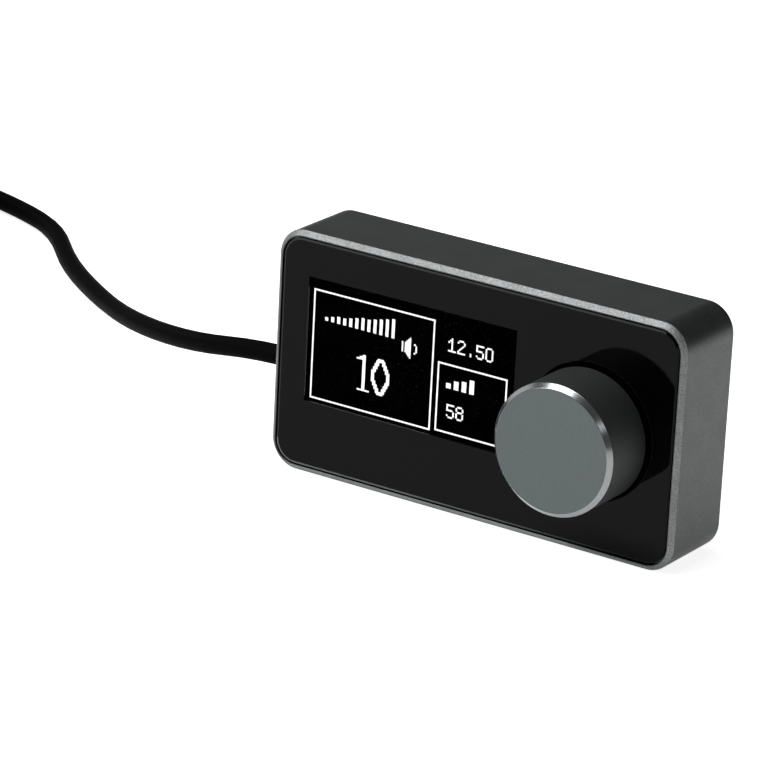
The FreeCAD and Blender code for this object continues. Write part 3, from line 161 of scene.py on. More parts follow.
def coilPlace(turn, swell=1.0):
    climbed = turn - cable["climbStart"]
    rise = cable["climbRise"] * ramp(climbed / cable["climbTurns"])
    for change in range(cable["turnsPerLayer"], coilTurns, cable["turnsPerLayer"]):
        rise += cable["pitch"] * ramp((turn - change) / cable["changeTurns"] + 0.5)
    inward = ramp(climbed / cable["changeTurns"] - cable["climbInWait"])
    radius = layerRadius(turn) - cable["climbIn"] * inward
    angle = startAngle + 2 * math.pi * turn
    flat = Vector((math.cos(angle), math.sin(angle), 0)) * radius * swell
    return coilCentre + (flat + Vector((0, 0, rise))) * mm


# control points stand a little outside the turns, because the spline cuts inside them
swell = 4 / (3 + math.cos(2 * math.pi / cable["pointsPerTurn"]))
coilPoints = [
    coilPlace(step / cable["pointsPerTurn"], swell)
    for step in range(1, coilTurns * cable["pointsPerTurn"])
]
coilEnd = coilPlace(coilTurns)
endWay = coilEnd - coilPlace(coilTurns - cable["endStep"])
endWay.z = 0
endWay.normalize()
plugAt = coilEnd + endWay * cable["lead"] * mm
cablePoints = [Vector(p) for p in cableRoute] + [coilStart] + coilPoints + [coilEnd, plugAt]

cableData = bpy.data.curves.new("cable", "CURVE")
cableData.dimensions = "3D"
cableData.bevel_depth = 1.0  # the points' own radius gives the thickness
cableData.bevel_resolution = cable["sides"]
cableData.resolution_u = cable["smoothness"]
cableData.use_fill_caps = True
spline = cableData.splines.new("NURBS")
spline.points.add(len(cablePoints) - 1)
for point, place in zip(spline.points, cablePoints):
    point.co = (*place, 1)
    point.radius = cable["radius"] * mm
spline.order_u = 3
spline.use_endpoint_u = True
cord = newObject("cable", cableData)
print("cable laid:", len(cablePoints), "control points")


# node trees, for materials and for forms
class Wire:
    # one socket of a tree, so that maths on it reads as plain Python
    def __init__(self, tree, socket):
        self.tree = tree
        self.socket = socket

    def __add__(self, other):
        return self.tree.maths("ADD", self, other)

    def __sub__(self, other):
        return self.tree.maths("SUBTRACT", self, other)

    def __rsub__(self, other):
        return self.tree.maths("SUBTRACT", other, self)

    def __mul__(self, other):
        return self.tree.maths("MULTIPLY", self, other)

    def __truediv__(self, other):
        return self.tree.maths("DIVIDE", self, other)

    def __gt__(self, other):
        return self.tree.maths("GREATER_THAN", self, other)

    __radd__ = __add__


class Tree:
    def __init__(self, nodeTree):
        self.nodeTree = nodeTree

    def node(self, kind, sockets=None, take=0, **settings):
        made = self.nodeTree.nodes.new(kind)
        for name, value in settings.items():
            setattr(made, name, value)
        for name, value in (sockets or {}).items():
            for each in value if isinstance(value, list) else [value]:
                if isinstance(each, Wire):
                    self.nodeTree.links.new(each.socket, made.inputs[name])
                else:
                    made.inputs[name].default_value = each
        return Wire(self, made.outputs[take]) if made.outputs else None

    def form(self, kind, sockets, **settings):
        return self.node("GeometryNode" + kind, sockets, **settings)

    def maths(self, operation, *values):
        return self.node("ShaderNodeMath", dict(enumerate(values)), operation=operation)

    def mixed(self, factor, first, second):
        sockets = {0: factor, 6: first, 7: second}
        return self.node("ShaderNodeMix", sockets, 2, data_type="RGBA", clamp_factor=True)

    def noise(self, grain, detail=2.0):
        # grain is the size of its spots in millimetres
        place = self.node("ShaderNodeTexCoord", take="Object")
        sockets = {"Vector": place, "Scale": 1 / (grain * mm), "Detail": detail}
        return self.node("ShaderNodeTexNoise", sockets, "Fac")

    def bump(self, height, strength, deep):
        sockets = {"Height": height, "Strength": strength, "Distance": deep * mm}
        return self.node("ShaderNodeBump", sockets)

    def axes(self):
        place = self.node("ShaderNodeTexCoord", take="Object")
        split = self.node("ShaderNodeSeparateXYZ", {0: place})
        return [Wire(self, socket) for socket in split.socket.node.outputs]


def tone(red, green, blue):
    # a colour as a screen shows it, 0 to 255, made linear
    shades = [v / 255 for v in (red, green, blue)]
    return (*[v / 12.92 if v < 0.04045 else ((v + 0.055) / 1.055) ** 2.4 for v in shades], 1.0)


def contrast(value, amount):
    return (value - 0.5) * amount + 0.5


paints = {}


def openPaint(name):
    paints[name] = paint = bpy.data.materials.new(name)
    paint.use_nodes = True
    paint.node_tree.nodes.clear()
    return Tree(paint.node_tree)


def closePaint(tree, sockets):
    shader = tree.node("ShaderNodeBsdfPrincipled", sockets, "BSDF")
    tree.node("ShaderNodeOutputMaterial", {"Surface": shader})


# each finish: two tones that its spots mix, how rough, the spots' size, how deep they are
finishes = {
    "housing_metal": dict(dark=(76, 78, 78), light=(108, 111, 111), rough=0.37, grain=0.16,
                          deep=0.012, metal=1.0, spots=2.6),
    "housing_bevel": dict(dark=(104, 106, 106), light=(160, 163, 163), rough=0.58, grain=0.17,
                          deep=0.014, metal=1.0, spots=3.2),
    "knob_metal": dict(dark=(54, 57, 58), light=(66, 69, 70), rough=0.34, grain=0.12,
                       deep=0.004, metal=1.0, spots=1.6),
    "chip_black": dict(dark=(18, 18, 19), light=(30, 30, 31), rough=0.55, grain=0.2, deep=0.01),
    "black_film": dict(dark=(10, 10, 11), light=(18, 18, 18), rough=0.7, grain=0.3, deep=0.01),
    "ribbon_film": dict(dark=(122, 70, 22), light=(160, 98, 38), rough=0.35, grain=0.5,
                        deep=0.004),
    "socket_plastic": dict(dark=(214, 208, 192), light=(230, 226, 214), rough=0.5, grain=0.4,
                           deep=0.008),
    "screw_black": dict(dark=(26, 26, 28), light=(44, 44, 46), rough=0.38, grain=0.1,
                        deep=0.006, metal=0.9),
    "encoder_steel": dict(dark=(140, 140, 138), light=(168, 168, 165), rough=0.32, grain=0.3,
                          deep=0.004, metal=1.0),
    "encoder_brass": dict(dark=(148, 122, 66), light=(182, 154, 92), rough=0.3, grain=0.3,
                          deep=0.004, metal=1.0),
    "contact_metal": dict(dark=(178, 178, 172), light=(206, 206, 200), rough=0.25, grain=0.3,
                          deep=0.003, metal=1.0),
    "contact_gold": dict(dark=(196, 152, 62), light=(226, 184, 92), rough=0.22, grain=0.3,
                         deep=0.002, metal=1.0),
    "encoder_plastic": dict(dark=(28, 28, 30), light=(42, 42, 44), rough=0.5, grain=0.3,
                            deep=0.01),
    "insert_plastic": dict(dark=(20, 20, 21), light=(32, 32, 33), rough=0.55, grain=0.25,
                           deep=0.012),
    "grommet_rubber": dict(dark=(15, 15, 16), light=(26, 26, 27), rough=0.62, grain=0.18,
                           deep=0.012),
    "cable_jacket": dict(dark=(8, 8, 8), light=(12, 12, 12), rough=0.46, grain=0.35,
                         deep=0.006, gloss=0.008),
    "tie_plastic": dict(dark=(22, 22, 23), light=(34, 34, 35), rough=0.46, grain=0.3,
                        deep=0.008),
}
spotting = {
    "broadGrain": 25,
    "fineShare": 0.75,
    "bump": 0.6,
    "wear": 0.06,
}


def solidPaint(name, look):
    tree = openPaint(name)
    fine = tree.noise(look["grain"])
    broad = tree.noise(look["grain"] * spotting["broadGrain"])
    share = spotting["fineShare"]
    mix = contrast(fine * share + broad * (1 - share), look.get("spots", 2.0))
    closePaint(
        tree,
        {
            "Base Color": tree.mixed(mix, tone(*look["dark"]), tone(*look["light"])),
            "Metallic": look.get("metal", 0.0),
            "Roughness": look["rough"] + (broad - 0.5) * spotting["wear"],
            "Specular IOR Level": look.get("gloss", 0.5),
            "Normal": tree.bump(fine, spotting["bump"], look["deep"]),
        },
    )


for name, look in finishes.items():
    solidPaint(name, look)

knobLooks = {
    "face": dict(dark=(95, 101, 101), light=(105, 112, 112), rough=0.36, deep=0.0015),
    "edge": dict(dark=(141, 145, 145), light=(163, 167, 167), rough=0.2, deep=0.001),
    "side": dict(dark=(76, 78, 78), light=(91, 93, 93), rough=0.58, deep=0.002),
}
turning = {
    "ringPitch": 0.16,
    "waverSize": 2.0,
    "waver": 3,
    "grain": 0.12,
    "spots": 1.8,
    "ringHeight": 0.5,
    "bump": 0.5,
    "wear": 0.02,
}


def turnedPaint(name, look):
    # fine rings round the knob's axis, as a lathe leaves them
    tree = openPaint(name)
    x, y, z = tree.axes()
    x, z = x - knobMiddle.x * mm, z - knobMiddle.z * mm
    wave = (tree.maths("SQRT", x * x + z * z) + y) * (2 * math.pi / (turning["ringPitch"] * mm))
    rings = tree.maths("SINE", wave + tree.noise(turning["waverSize"]) * turning["waver"])
    fine = tree.noise(turning["grain"])
    mix = contrast(fine, turning["spots"])
    height = rings * turning["ringHeight"] + fine
    closePaint(
        tree,
        {
            "Base Color": tree.mixed(mix, tone(*look["dark"]), tone(*look["light"])),
            "Metallic": 1.0,
            "Roughness": look["rough"] + rings * turning["wear"],
            "Normal": tree.bump(height, turning["bump"], look["deep"]),
        },
    )


for part, look in knobLooks.items():
    turnedPaint("knob_" + part, look)

# each gloss: its shade, how it mirrors, how rough; a fade turns it black between two places along
# X, so that the painted reflection of the pale floor in the panel's lower edge shows on the left
# only
glossLooks = {
    "panel_black": dict(shade=(1, 1, 1), gloss=0.114, rough=0.05),
    # the panel's edge tones are painted reflection on its bevel, the low one of the pale floor
    "panel_edge": dict(shade=(48, 49, 49), gloss=0.2, rough=0.4),
    "panel_edge_low": dict(shade=(120, 121, 121), gloss=0.2, rough=0.4, fade=(-10.0, 28.0)),
    # matt black for the painted shade ring round the knob
    "foot_black": dict(shade=(1, 1, 1), gloss=0.01, rough=0.7),
    "window_film": dict(shade=(1, 1, 1), gloss=0.04, rough=0.03, alpha=0.06),
    "clear_glue": dict(shade=(1, 1, 1), gloss=0.02, rough=0.05, alpha=0.02),
    "plug_clear": dict(shade=(236, 240, 242), gloss=0.5, rough=0.06,
                       sockets={"Transmission Weight": 0.92, "IOR": 1.58}),
}
polish = {
    "wipeSize": 6.0,
    "wipeDetail": 4.0,
    "lighter": 2,
    "wear": 0.5,
}


def glossPaint(name, shade, gloss, rough, alpha=1.0, sockets=None, fade=None):
    # smooth sheet with a breath of unevenness in its polish
    tree = openPaint(name)
    wipe = tree.noise(polish["wipeSize"], polish["wipeDetail"])
    base = tree.mixed(wipe, tone(*shade), tone(*[v + polish["lighter"] for v in shade]))
    # the fade keeps this painted reflection to one end along X
    if fade:
        start, end = fade
        share = (tree.axes()[0] - start * mm) * (1 / ((end - start) * mm))
        base = tree.mixed(share, base, tone(1, 1, 1))
    closePaint(
        tree,
        {
            "Base Color": base,
            "Roughness": rough + wipe * rough * polish["wear"],
            "Specular IOR Level": gloss,
            "Alpha": alpha,
            **(sockets or {}),
        },
    )


for name, look in glossLooks.items():
    glossPaint(name, **look)

screen = {
    "left": -29.49,
    "top": 29.55,
    "dotPitch": 0.2738,
    "dotSize": 0.262,
    "lift": 0.02,
    "gridFrom": 0.86,
}


def sheetPaint():
    # dark display sheet with the faint grid of its unlit dots
    tree = openPaint("display_sheet")
    x, y, z = tree.axes()
    fine = 2 * math.pi / (screen["dotPitch"] * mm)
    lines = [tree.maths("SINE", axis * fine) > screen["gridFrom"] for axis in (x, z)]
    grid = lines[0] + lines[1]
    closePaint(
        tree,
        {
            "Base Color": tree.mixed(grid, tone(1, 1, 2), tone(3, 3, 4)),
            "Roughness": 0.12 + grid * 0.1,
            "Specular IOR Level": 0.004,
        },
    )


def lightPaint():
    # lit dots differ a little in strength, as such displays do
    tree = openPaint("lit_dot")
    wear = contrast(tree.noise(1.2), 2.0)
    closePaint(
        tree,
        {
            "Base Color": tone(20, 20, 22),
            "Emission Color": tree.mixed(wear, tone(240, 240, 240), tone(255, 255, 255)),
            "Emission Strength": 1.6,
            "Roughness": 0.4,
        },
    )


def boardPaint():
    # green resist over copper tracks
    tree = openPaint("board_green")
    place = tree.node("ShaderNodeTexCoord", take="Object")
    flat = tree.node("ShaderNodeMapping", {"Vector": place, "Rotation": (quarterTurn, 0, 0)})
    tracks = tree.node(
        "ShaderNodeTexBrick",
        {"Vector": flat, "Scale": 240.0, "Mortar Size": 0.035, "Brick Width": 1.3},
        "Fac",
        offset=0.37,
        squash=0.6,
        squash_frequency=3,
    )
    cells = tree.noise(3.0)
    copper = tracks * (cells > 0.45)
    closePaint(
        tree,
        {
            "Base Color": tree.mixed(copper, tone(14, 62, 34), tone(38, 104, 58)),
            "Roughness": 0.32 + cells * 0.1,
            "Normal": tree.bump(copper, 0.5, 0.035),
        },
    )


cores = {
    "low": 11.0,
    "tall": 7.6,
    "colours": [
        (0.0, (172, 28, 24)), (0.27, (22, 22, 23)), (0.5, (214, 172, 34)), (0.75, (222, 222, 218))
    ],
}


def corePaint():
    # four insulation colours, one above the other
    tree = openPaint("core_insulation")
    share = (tree.axes()[2] - cores["low"] * mm) / (cores["tall"] * mm)
    shades = tree.node("ShaderNodeValToRGB", {"Fac": share}, "Color")
    bands = shades.socket.node.color_ramp
    while len(bands.elements) < len(cores["colours"]):
        bands.elements.new(1.0)
    for band, (position, shade) in zip(bands.elements, cores["colours"]):
        band.position = position
        band.color = tone(*shade)
    bands.interpolation = "CONSTANT"
    closePaint(tree, {"Base Color": shades, "Roughness": 0.42 + tree.noise(0.5) * 0.1})


for makePaint in (sheetPaint, lightPaint, boardPaint, corePaint):
    makePaint()

for name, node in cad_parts.items():
    for materialSlot in node.material_slots:
        materialSlot.material = paints[materialSlot.material.name]
print("finishes made:", len(paints))


# meshes
def dress(mesh, *names):
    for name in names:
        mesh.materials.append(paints[name])


def addPiece(name, mesh, body, finish=None, nodes=()):
    piece = newObject(name, mesh)
    if finish is not None:
        mesh.materials.clear()
        dress(mesh, finish)
    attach(piece, body)
    if nodes:
        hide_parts(*nodes)
    return piece


def smooth(mesh, sharp=32):
    # smooth shading, with edges that turn by more than so many degrees kept sharp
    mesh.shade_smooth()
    mesh.set_sharp_from_angle(angle=math.radians(sharp))


def meshFrom(bm, name, sharp=32):
    bmesh.ops.recalc_face_normals(bm, faces=bm.faces[:])
    mesh = bpy.data.meshes.new(name)
    bm.to_mesh(mesh)
    bm.free()
    mesh.transform(Matrix.Scale(mm, 4))
    smooth(mesh, sharp)
    return mesh


def settled(piece):
    # the mesh that its modifiers make, with the modifiers then taken off
    graph = bpy.context.evaluated_depsgraph_get()
    mesh = bpy.data.meshes.new_from_object(piece.evaluated_get(graph))
    piece.modifiers.clear()
    return mesh


def joinRings(bm, rings, closed=False):
    rows = [[bm.verts.new(p) for p in ring] for ring in rings]
    following = rows[1:] + rows[:1] if closed else rows[1:]
    for near, far in zip(rows, following):
        for i, vertex in enumerate(near):
            after = (i + 1) % len(near)
            bm.faces.new((vertex, near[after], far[after], far[i]))
    return rows


def roundEdges(piece, width, segments=2):
    bevel = piece.modifiers.new("softEdges", "BEVEL")
    bevel.width = width * mm
    bevel.segments = segments
    bevel.limit_method = "ANGLE"
    bevel.angle_limit = math.radians(30)
    bevel.harden_normals = True


def roundedLoop(left, right, low, high, radius, inset=0.0, steps=10):
    r = max(radius - inset, leastRadius)
    x0, x1, z0, z1 = left + inset + r, right - inset - r, low + inset + r, high - inset - r
    loop = []
    for x, z, start in ((x1, z0, -90), (x1, z1, 0), (x0, z1, 90), (x0, z0, 180)):
        for step in range(steps + 1):
            angle = math.radians(start + 90 * step / steps)
            loop.append((x + r * math.cos(angle), z + r * math.sin(angle)))
    return loop


def anglesRound(steps):
    return [2 * math.pi * step / steps for step in range(steps)]


def knobCircle(radius, steps=48):
    # round the knob's axis
    x, z = knobMiddle.x, knobMiddle.z
    return [(x + radius * math.cos(a), z + radius * math.sin(a)) for a in anglesRound(steps)]


def plate(bm, loops, front, back, edge=0.0, edgeDepth=0.0):
    # a flat sheet between two depths; its loops are the outline and the holes, each a list of
    # places or, where a bevel runs round it, a function of the inset
    rims = [[], []]
    levels = [(front, edge), (back, 0.0)]
    if edge:
        levels.insert(1, (front + edgeDepth, 0.0))
    for loop in loops:
        shapes = [(y, loop(inset) if callable(loop) else loop) for y, inset in levels]
        rows = joinRings(bm, [[(x, y, z) for x, z in shape] for y, shape in shapes])
        for rim, row in zip(rims, (rows[0], rows[-1])):
            rim += [bm.edges.get((a, b)) for a, b in zip(row, row[1:] + row[:1])]
    for rim in rims:
        bmesh.ops.triangle_fill(bm, edges=rim, use_beauty=True)


def lathe(name, profile, place, around=64, sharp=32, closed=False):
    # profile: places along X and radii round it; place: where the turned mesh goes
    rings = [
        [(along, radius * math.cos(a), radius * math.sin(a)) for a in anglesRound(around)]
        for along, radius in profile
    ]
    bm = bmesh.new()
    joinRings(bm, rings, closed)
    bmesh.ops.remove_doubles(bm, verts=bm.verts[:], dist=1e-5)
    mesh = meshFrom(bm, name, sharp)
    mesh.transform(place)
    return mesh


def sweep(name, rings, place):
    # a solid with both ends closed
    bm = bmesh.new()
    rows = joinRings(bm, rings)
    bm.faces.new(rows[0])
    bm.faces.new(rows[-1])
    mesh = meshFrom(bm, name)
    mesh.transform(place)
    return mesh


# forms grown by geometry nodes
def openForm(name, inputs):
    group = bpy.data.node_groups.new(name, "GeometryNodeTree")
    group.interface.new_socket("Geometry", in_out="OUTPUT", socket_type="NodeSocketGeometry")
    kinds = {"Geometry": "Geometry", "Finish": "Material"}
    for label in ["Geometry", "Finish", *inputs]:
        kind = "NodeSocket" + kinds.get(label, "Float")
        group.interface.new_socket(label, in_out="INPUT", socket_type=kind)
    tree = Tree(group)
    entry = tree.node("NodeGroupInput").socket.node
    return tree, {s.name: Wire(tree, s) for s in entry.outputs if s.name}


def closeForm(tree, shape, inputs):
    real = tree.form("RealizeInstances", {"Geometry": shape})
    made = tree.form("SetMaterial", {"Geometry": real, "Material": inputs["Finish"]})
    tree.node("NodeGroupOutput", {"Geometry": made})
    return tree.nodeTree


def grow(name, group, places, finish, values):
    # runs a form on loose points and keeps the result as a plain mesh
    seedMesh = bpy.data.meshes.new(name + "Seed")
    seedMesh.from_pydata([Vector(p) * mm for p in places], [], [])
    seed = newObject(name + "Seed", seedMesh)
    modifier = seed.modifiers.new("form", "NODES")
    modifier.node_group = group
    values = {"Finish": paints[finish], **{key: v * mm for key, v in values.items()}}
    for socket in group.interface.items_tree:
        if socket.in_out == "INPUT" and socket.name in values:
            modifier[socket.identifier] = values[socket.name]
    mesh = settled(seed)
    bpy.data.objects.remove(seed)
    smooth(mesh)
    return mesh


def vector(tree, x=0.0, y=0.0, z=0.0):
    return tree.node("ShaderNodeCombineXYZ", {"X": x, "Y": y, "Z": z})


def shifted(tree, shape, offset, turn=(0, 0, 0)):
    return tree.form("Transform", {"Geometry": shape, "Translation": offset, "Rotation": turn})


def joined(tree, *shapes):
    return tree.form("JoinGeometry", {"Geometry": list(shapes)[::-1]})


def onPoints(tree, points, shape, turn):
    return tree.form("InstanceOnPoints", {"Points": points, "Instance": shape, "Rotation": turn})


def dotForm():
    # a small square at each lit place, facing the front
    tree, inputs = openForm("dotForm", ["Dot Size"])
    side = inputs["Dot Size"]
    dot = tree.form("MeshGrid", {"Size X": side, "Size Y": side, "Vertices X": 2, "Vertices Y": 2})
    return closeForm(tree, onPoints(tree, inputs["Geometry"], dot, (quarterTurn, 0, 0)), inputs)


screw = {
    "Head Radius": 1.9,
    "Head Depth": 0.9,
    "Shank Radius": 1.0,
    "Shank Length": 5.2,
    "Slot Width": 0.35,
    "Slot Length": 2.0,
    "Slot Depth": 0.6,
}


def screwForm():
    # a countersunk screw with a cross recess, its head's top at each place and facing the back
    tree, inputs = openForm("screwForm", list(screw))
    head = tree.form(
        "MeshCone",
        {"Vertices": 40, "Radius Top": inputs["Head Radius"], "Depth": inputs["Head Depth"],
         "Radius Bottom": inputs["Shank Radius"]},
    )
    head = shifted(tree, head, vector(tree, z=0 - inputs["Head Depth"]))
    slots = []
    for across, along in (("Slot Length", "Slot Width"), ("Slot Width", "Slot Length")):
        size = vector(tree, inputs[across], inputs[along], inputs["Slot Depth"] * 2)
        slots.append(tree.form("MeshCube", {"Size": size}))
    head = tree.form(
        "MeshBoolean", {"Mesh 1": head, "Mesh 2": slots}, operation="DIFFERENCE", solver="EXACT"
    )
    shank = tree.form(
        "MeshCylinder",
        {"Vertices": 32, "Radius": inputs["Shank Radius"], "Depth": inputs["Shank Length"]},
    )
    low = 0 - inputs["Head Depth"] - inputs["Shank Length"] * 0.5
    whole = joined(tree, head, shifted(tree, shank, vector(tree, z=low)))
    return closeForm(tree, onPoints(tree, inputs["Geometry"], whole, (-quarterTurn, 0, 0)), inputs)


def postForm():
    # a threaded post: a rectangle swept round a circle, standing on each place towards the back
    tree, inputs = openForm("postForm", ["Outer Radius", "Inner Radius", "Post Length"])
    outer, inner, tall = inputs["Outer Radius"], inputs["Inner Radius"], inputs["Post Length"]
    middle = (outer + inner) * 0.5
    ring = tree.form("CurvePrimitiveCircle", {"Resolution": 32, "Radius": middle})
    section = tree.form("CurvePrimitiveQuadrilateral", {"Width": outer - inner, "Height": tall})
    post = tree.form("CurveToMesh", {"Curve": ring, "Profile Curve": section})
    post = shifted(tree, post, vector(tree, z=tall * 0.5))
    return closeForm(tree, onPoints(tree, inputs["Geometry"], post, (-quarterTurn, 0, 0)), inputs)


# shares of the strap's thickness, of its band, of its width and of the teeth's pitch
strapShares = {
    "toothTall": 0.3,
    "bandCorner": 0.3,
    "toothWide": 0.6,
    "toothLong": 0.5,
}


def strapForm():
    # a flat tie round a bundle, with the small teeth that its lock holds; it stands across X
    names = ["Inside Across", "Inside Tall", "Corner", "Width", "Thickness", "Tooth Pitch"]
    tree, inputs = openForm("strapForm", names)
    width, pitch = inputs["Width"], inputs["Tooth Pitch"]
    teeth = inputs["Thickness"] * strapShares["toothTall"]
    band = inputs["Thickness"] - teeth

    def rounded(wide, tall, radius, count):
        corners = tree.form("CurvePrimitiveQuadrilateral", {"Width": wide, "Height": tall})
        sockets = {"Curve": corners, "Radius": radius, "Count": count}
        return tree.form("FilletCurve", sockets, mode="POLY")

    across, tall = inputs["Inside Across"] + band, inputs["Inside Tall"] + band
    path = rounded(across, tall, inputs["Corner"], 8)
    section = rounded(band, width, band * strapShares["bandCorner"], 2)
    strap = tree.form("CurveToMesh", {"Curve": path, "Profile Curve": section})
    stations = tree.form("CurveToPoints", {"Curve": path, "Length": pitch}, mode="LENGTH")
    turn = Wire(tree, stations.socket.node.outputs["Rotation"])
    toothWide, toothLong = width * strapShares["toothWide"], pitch * strapShares["toothLong"]
    tooth = tree.form("MeshCube", {"Size": vector(tree, teeth * 2, toothWide, toothLong)})
    tooth = shifted(tree, tooth, vector(tree, x=band * 0.5))
    row = onPoints(tree, stations, tooth, turn)
    upright = shifted(tree, joined(tree, strap, row), (0, 0, 0), (quarterTurn, 0, 0))
    return closeForm(tree, upright, inputs)


# housing: a milled block, swept as one closed section round its rounded outline
housing = {
    "corner": 4.5,
    "cornerSteps": 16,
    "chamfer": 0.75,
    "chamferFacing": (-0.8, -0.6),  # between which its normals lie along Y
    "rim": 0.93,
    "rearChamfer": 0.3,
    "wall": 1.8,
    "coverRim": 1.0,
    "coverSeat": 12.5,
    "softEdge": 0.09,
    "webBack": 3.7,
    "encoderWeb": 1.2,
    "encoderRoom": 6.9,
    "bushHole": 3.65,
    "slotHalf": 6.85,
    "slotLow": 2.5,
    "displayPlay": 0.3,
    "holeDepth": 7.3,
    "holeHeight": 14.8,
    "holeRadius": 2.25,
    "holeCut": 2,
    "sharpAngle": 60,
    "roomCorner": 0.8,
    "slotCorner": 0.4,
    "coverPost": 3.0,
    "boardPost": 1.9,
    "postBore": 1.02,
    "screwHead": 1.9,
}


front, rear = housingBox[0].y, housingBox[1].y
halfWidth, height, depth = housingBox[1].x, housingBox[1].z, rear - front


def outline(inset):
    corner, steps = housing["corner"], housing["cornerSteps"]
    return roundedLoop(-halfWidth, halfWidth, 0.0, height, corner, inset, steps)


panelSeat = boxOf("panel_glue")[1].y - front
displayFloor = boxOf("display_foam")[1].y - front
encoderSeat = panelSeat + housing["encoderWeb"]

section = [
    (housing["rim"], panelSeat),
    (housing["rim"], 0.0),
    (housing["chamfer"], 0.0),
    (0.0, housing["chamfer"]),
    (0.0, depth - housing["rearChamfer"]),
    (housing["rearChamfer"], depth),
    (housing["coverRim"], depth),
    (housing["coverRim"], housing["coverSeat"]),
    (housing["wall"], housing["coverSeat"]),
    (housing["wall"], encoderSeat),
    (housing["wall"], panelSeat),
]
bm = bmesh.new()
rings = [[(x, front + deep, z) for x, z in outline(inset)] for inset, deep in section]
joinRings(bm, rings, closed=True)
shellMesh = meshFrom(bm, "housingShell", sharp=180)
dress(shellMesh, "housing_metal", "housing_bevel")
steep, shallow = housing["chamferFacing"]
for polygon in shellMesh.polygons:
    inFront = polygon.center.y / mm < front + housing["chamfer"]
    if inFront and steep < polygon.normal.y < shallow:
        polygon.material_index = 1
shell = addPiece("housingShell", shellMesh, "remote", None, ["housing"])
roundEdges(shell, housing["softEdge"])

holePlace = Vector((-halfWidth, front + housing["holeDepth"], housing["holeHeight"]))
holeFrame = Matrix.Translation(holePlace * mm)
cut, bore = housing["holeCut"], housing["holeRadius"]
holeMesh = lathe("cableHole", [(-cut, 0), (-cut, bore), (cut, bore), (cut, 0)], holeFrame, 48)
holeCutter = newObject("cableHole", holeMesh)
cutting = shell.modifiers.new("cableHole", "BOOLEAN")
cutting.object = holeCutter
cutting.solver = "EXACT"
shell.data = settled(shell)
bpy.data.objects.remove(holeCutter)
shell.data.set_sharp_from_angle(angle=math.radians(housing["sharpAngle"]))
flatFaces = shell.modifiers.new("flatFaces", "WEIGHTED_NORMAL")
flatFaces.keep_sharp = True

# the web behind the front panel, in three depths, with the rooms for display and encoder
play, slotLow = housing["displayPlay"], housing["slotLow"]
left, right = displayBox[0].x - play, displayBox[1].x + play
low, high = displayBox[0].z - play, displayBox[1].z + play
displayMiddle = (displayBox[0].x + displayBox[1].x) / 2
slotLeft, slotRight = displayMiddle - housing["slotHalf"], displayMiddle + housing["slotHalf"]
displayRoom = [
    (left, low), (left, high), (right, high), (right, low),
    (slotRight, low), (slotRight, slotLow), (slotLeft, slotLow), (slotLeft, low),
]
ribbonSlot = roundedLoop(
    slotLeft, slotRight, slotLow, displayBox[0].z + play, housing["slotCorner"]
)
bushHole = knobCircle(housing["bushHole"])
x, z, half = knobMiddle.x, knobMiddle.z, housing["encoderRoom"]
encoderRoom = roundedLoop(x - half, x + half, z - half, z + half, housing["roomCorner"], 0.0, 6)
wallLoop = outline(housing["wall"])
bm = bmesh.new()
for near, far, knobRoom, frontRoom in (
    (panelSeat, encoderSeat, bushHole, displayRoom),
    (encoderSeat, displayFloor, encoderRoom, displayRoom),
    (displayFloor, housing["webBack"], encoderRoom, ribbonSlot),
):
    plate(bm, [wallLoop, knobRoom, frontRoom], front + near, front + far)
addPiece("housingWeb", meshFrom(bm, "housingWeb"), "remote", "housing_metal")


def cornersOf(left, right, low, high, inset):
    return [(x, z) for x in (left + inset, right - inset) for z in (low + inset, high - inset)]


posts = postForm()
cornerPlaces = cornersOf(-halfWidth, halfWidth, 0, height, housing["corner"])
screwsLow, screwsHigh = boxOf("board_screws")
boardPlaces = cornersOf(
    screwsLow.x, screwsHigh.x, screwsLow.z, screwsHigh.z, housing["screwHead"]
)
webRear = front + housing["webBack"]
for name, places, outer, length in (
    ("coverPosts", cornerPlaces, housing["coverPost"], housing["coverSeat"] - housing["webBack"]),
    ("boardPosts", boardPlaces, housing["boardPost"], boxOf("main_board")[0].y - webRear),
):
    sizes = {"Outer Radius": outer, "Inner Radius": housing["postBore"], "Post Length": length}
    mesh = grow(name, posts, [(x, webRear, z) for x, z in places], "housing_metal", sizes)
    addPiece(name, mesh, "remote")
print("housing made")

# front panel: its black print leaves the window free
panel = {
    "edge": 0.3,
    "spread": 0.04,
    "edgeDepth": 0.12,
    "corner": 3.3,
    "hole": 3.65,
    "window": (-29.93, 7.25, 11.7, 31.55),  # left, right, low, high
    "windowCorner": 0.1,
    "filmThickness": 0.05,
    # the next three size the painted shade ring round the knob: its reach past the knob, its
    # bevel, how deep it is sunk
    "paintedShadeRing": 0.45,
    "shadeRingEdge": 0.14,
    "shadeRingSunk": 0.03,
    "around": 144,
    "paintedReflectionBelow": (0.1, -0.3),  # bevel facets with lower normals along X and Y, which take the painted reflection; those facing right stay black as painted shade
    "sharpAngle": 12,
}
panelFront, panelRear = panelBox[0].y, panelBox[1].y
shadeRingRadius = knobBox[1].x - knobMiddle.x + panel["paintedShadeRing"]
windowLoop = roundedLoop(*panel["window"], panel["windowCorner"], 0.0, 2)


def panelLoop(inset):
    low, high = panelBox
    inset -= panel["spread"]
    corner, steps = panel["corner"], housing["cornerSteps"]
    return roundedLoop(low.x, high.x, low.z, high.z, corner, inset, steps)


def shadeRingLoop(inset):
    # the opening for the painted shade ring round the knob has a narrower bevel than the outline
    return knobCircle(shadeRingRadius + (panel["shadeRingEdge"] if inset else 0.0), panel["around"])


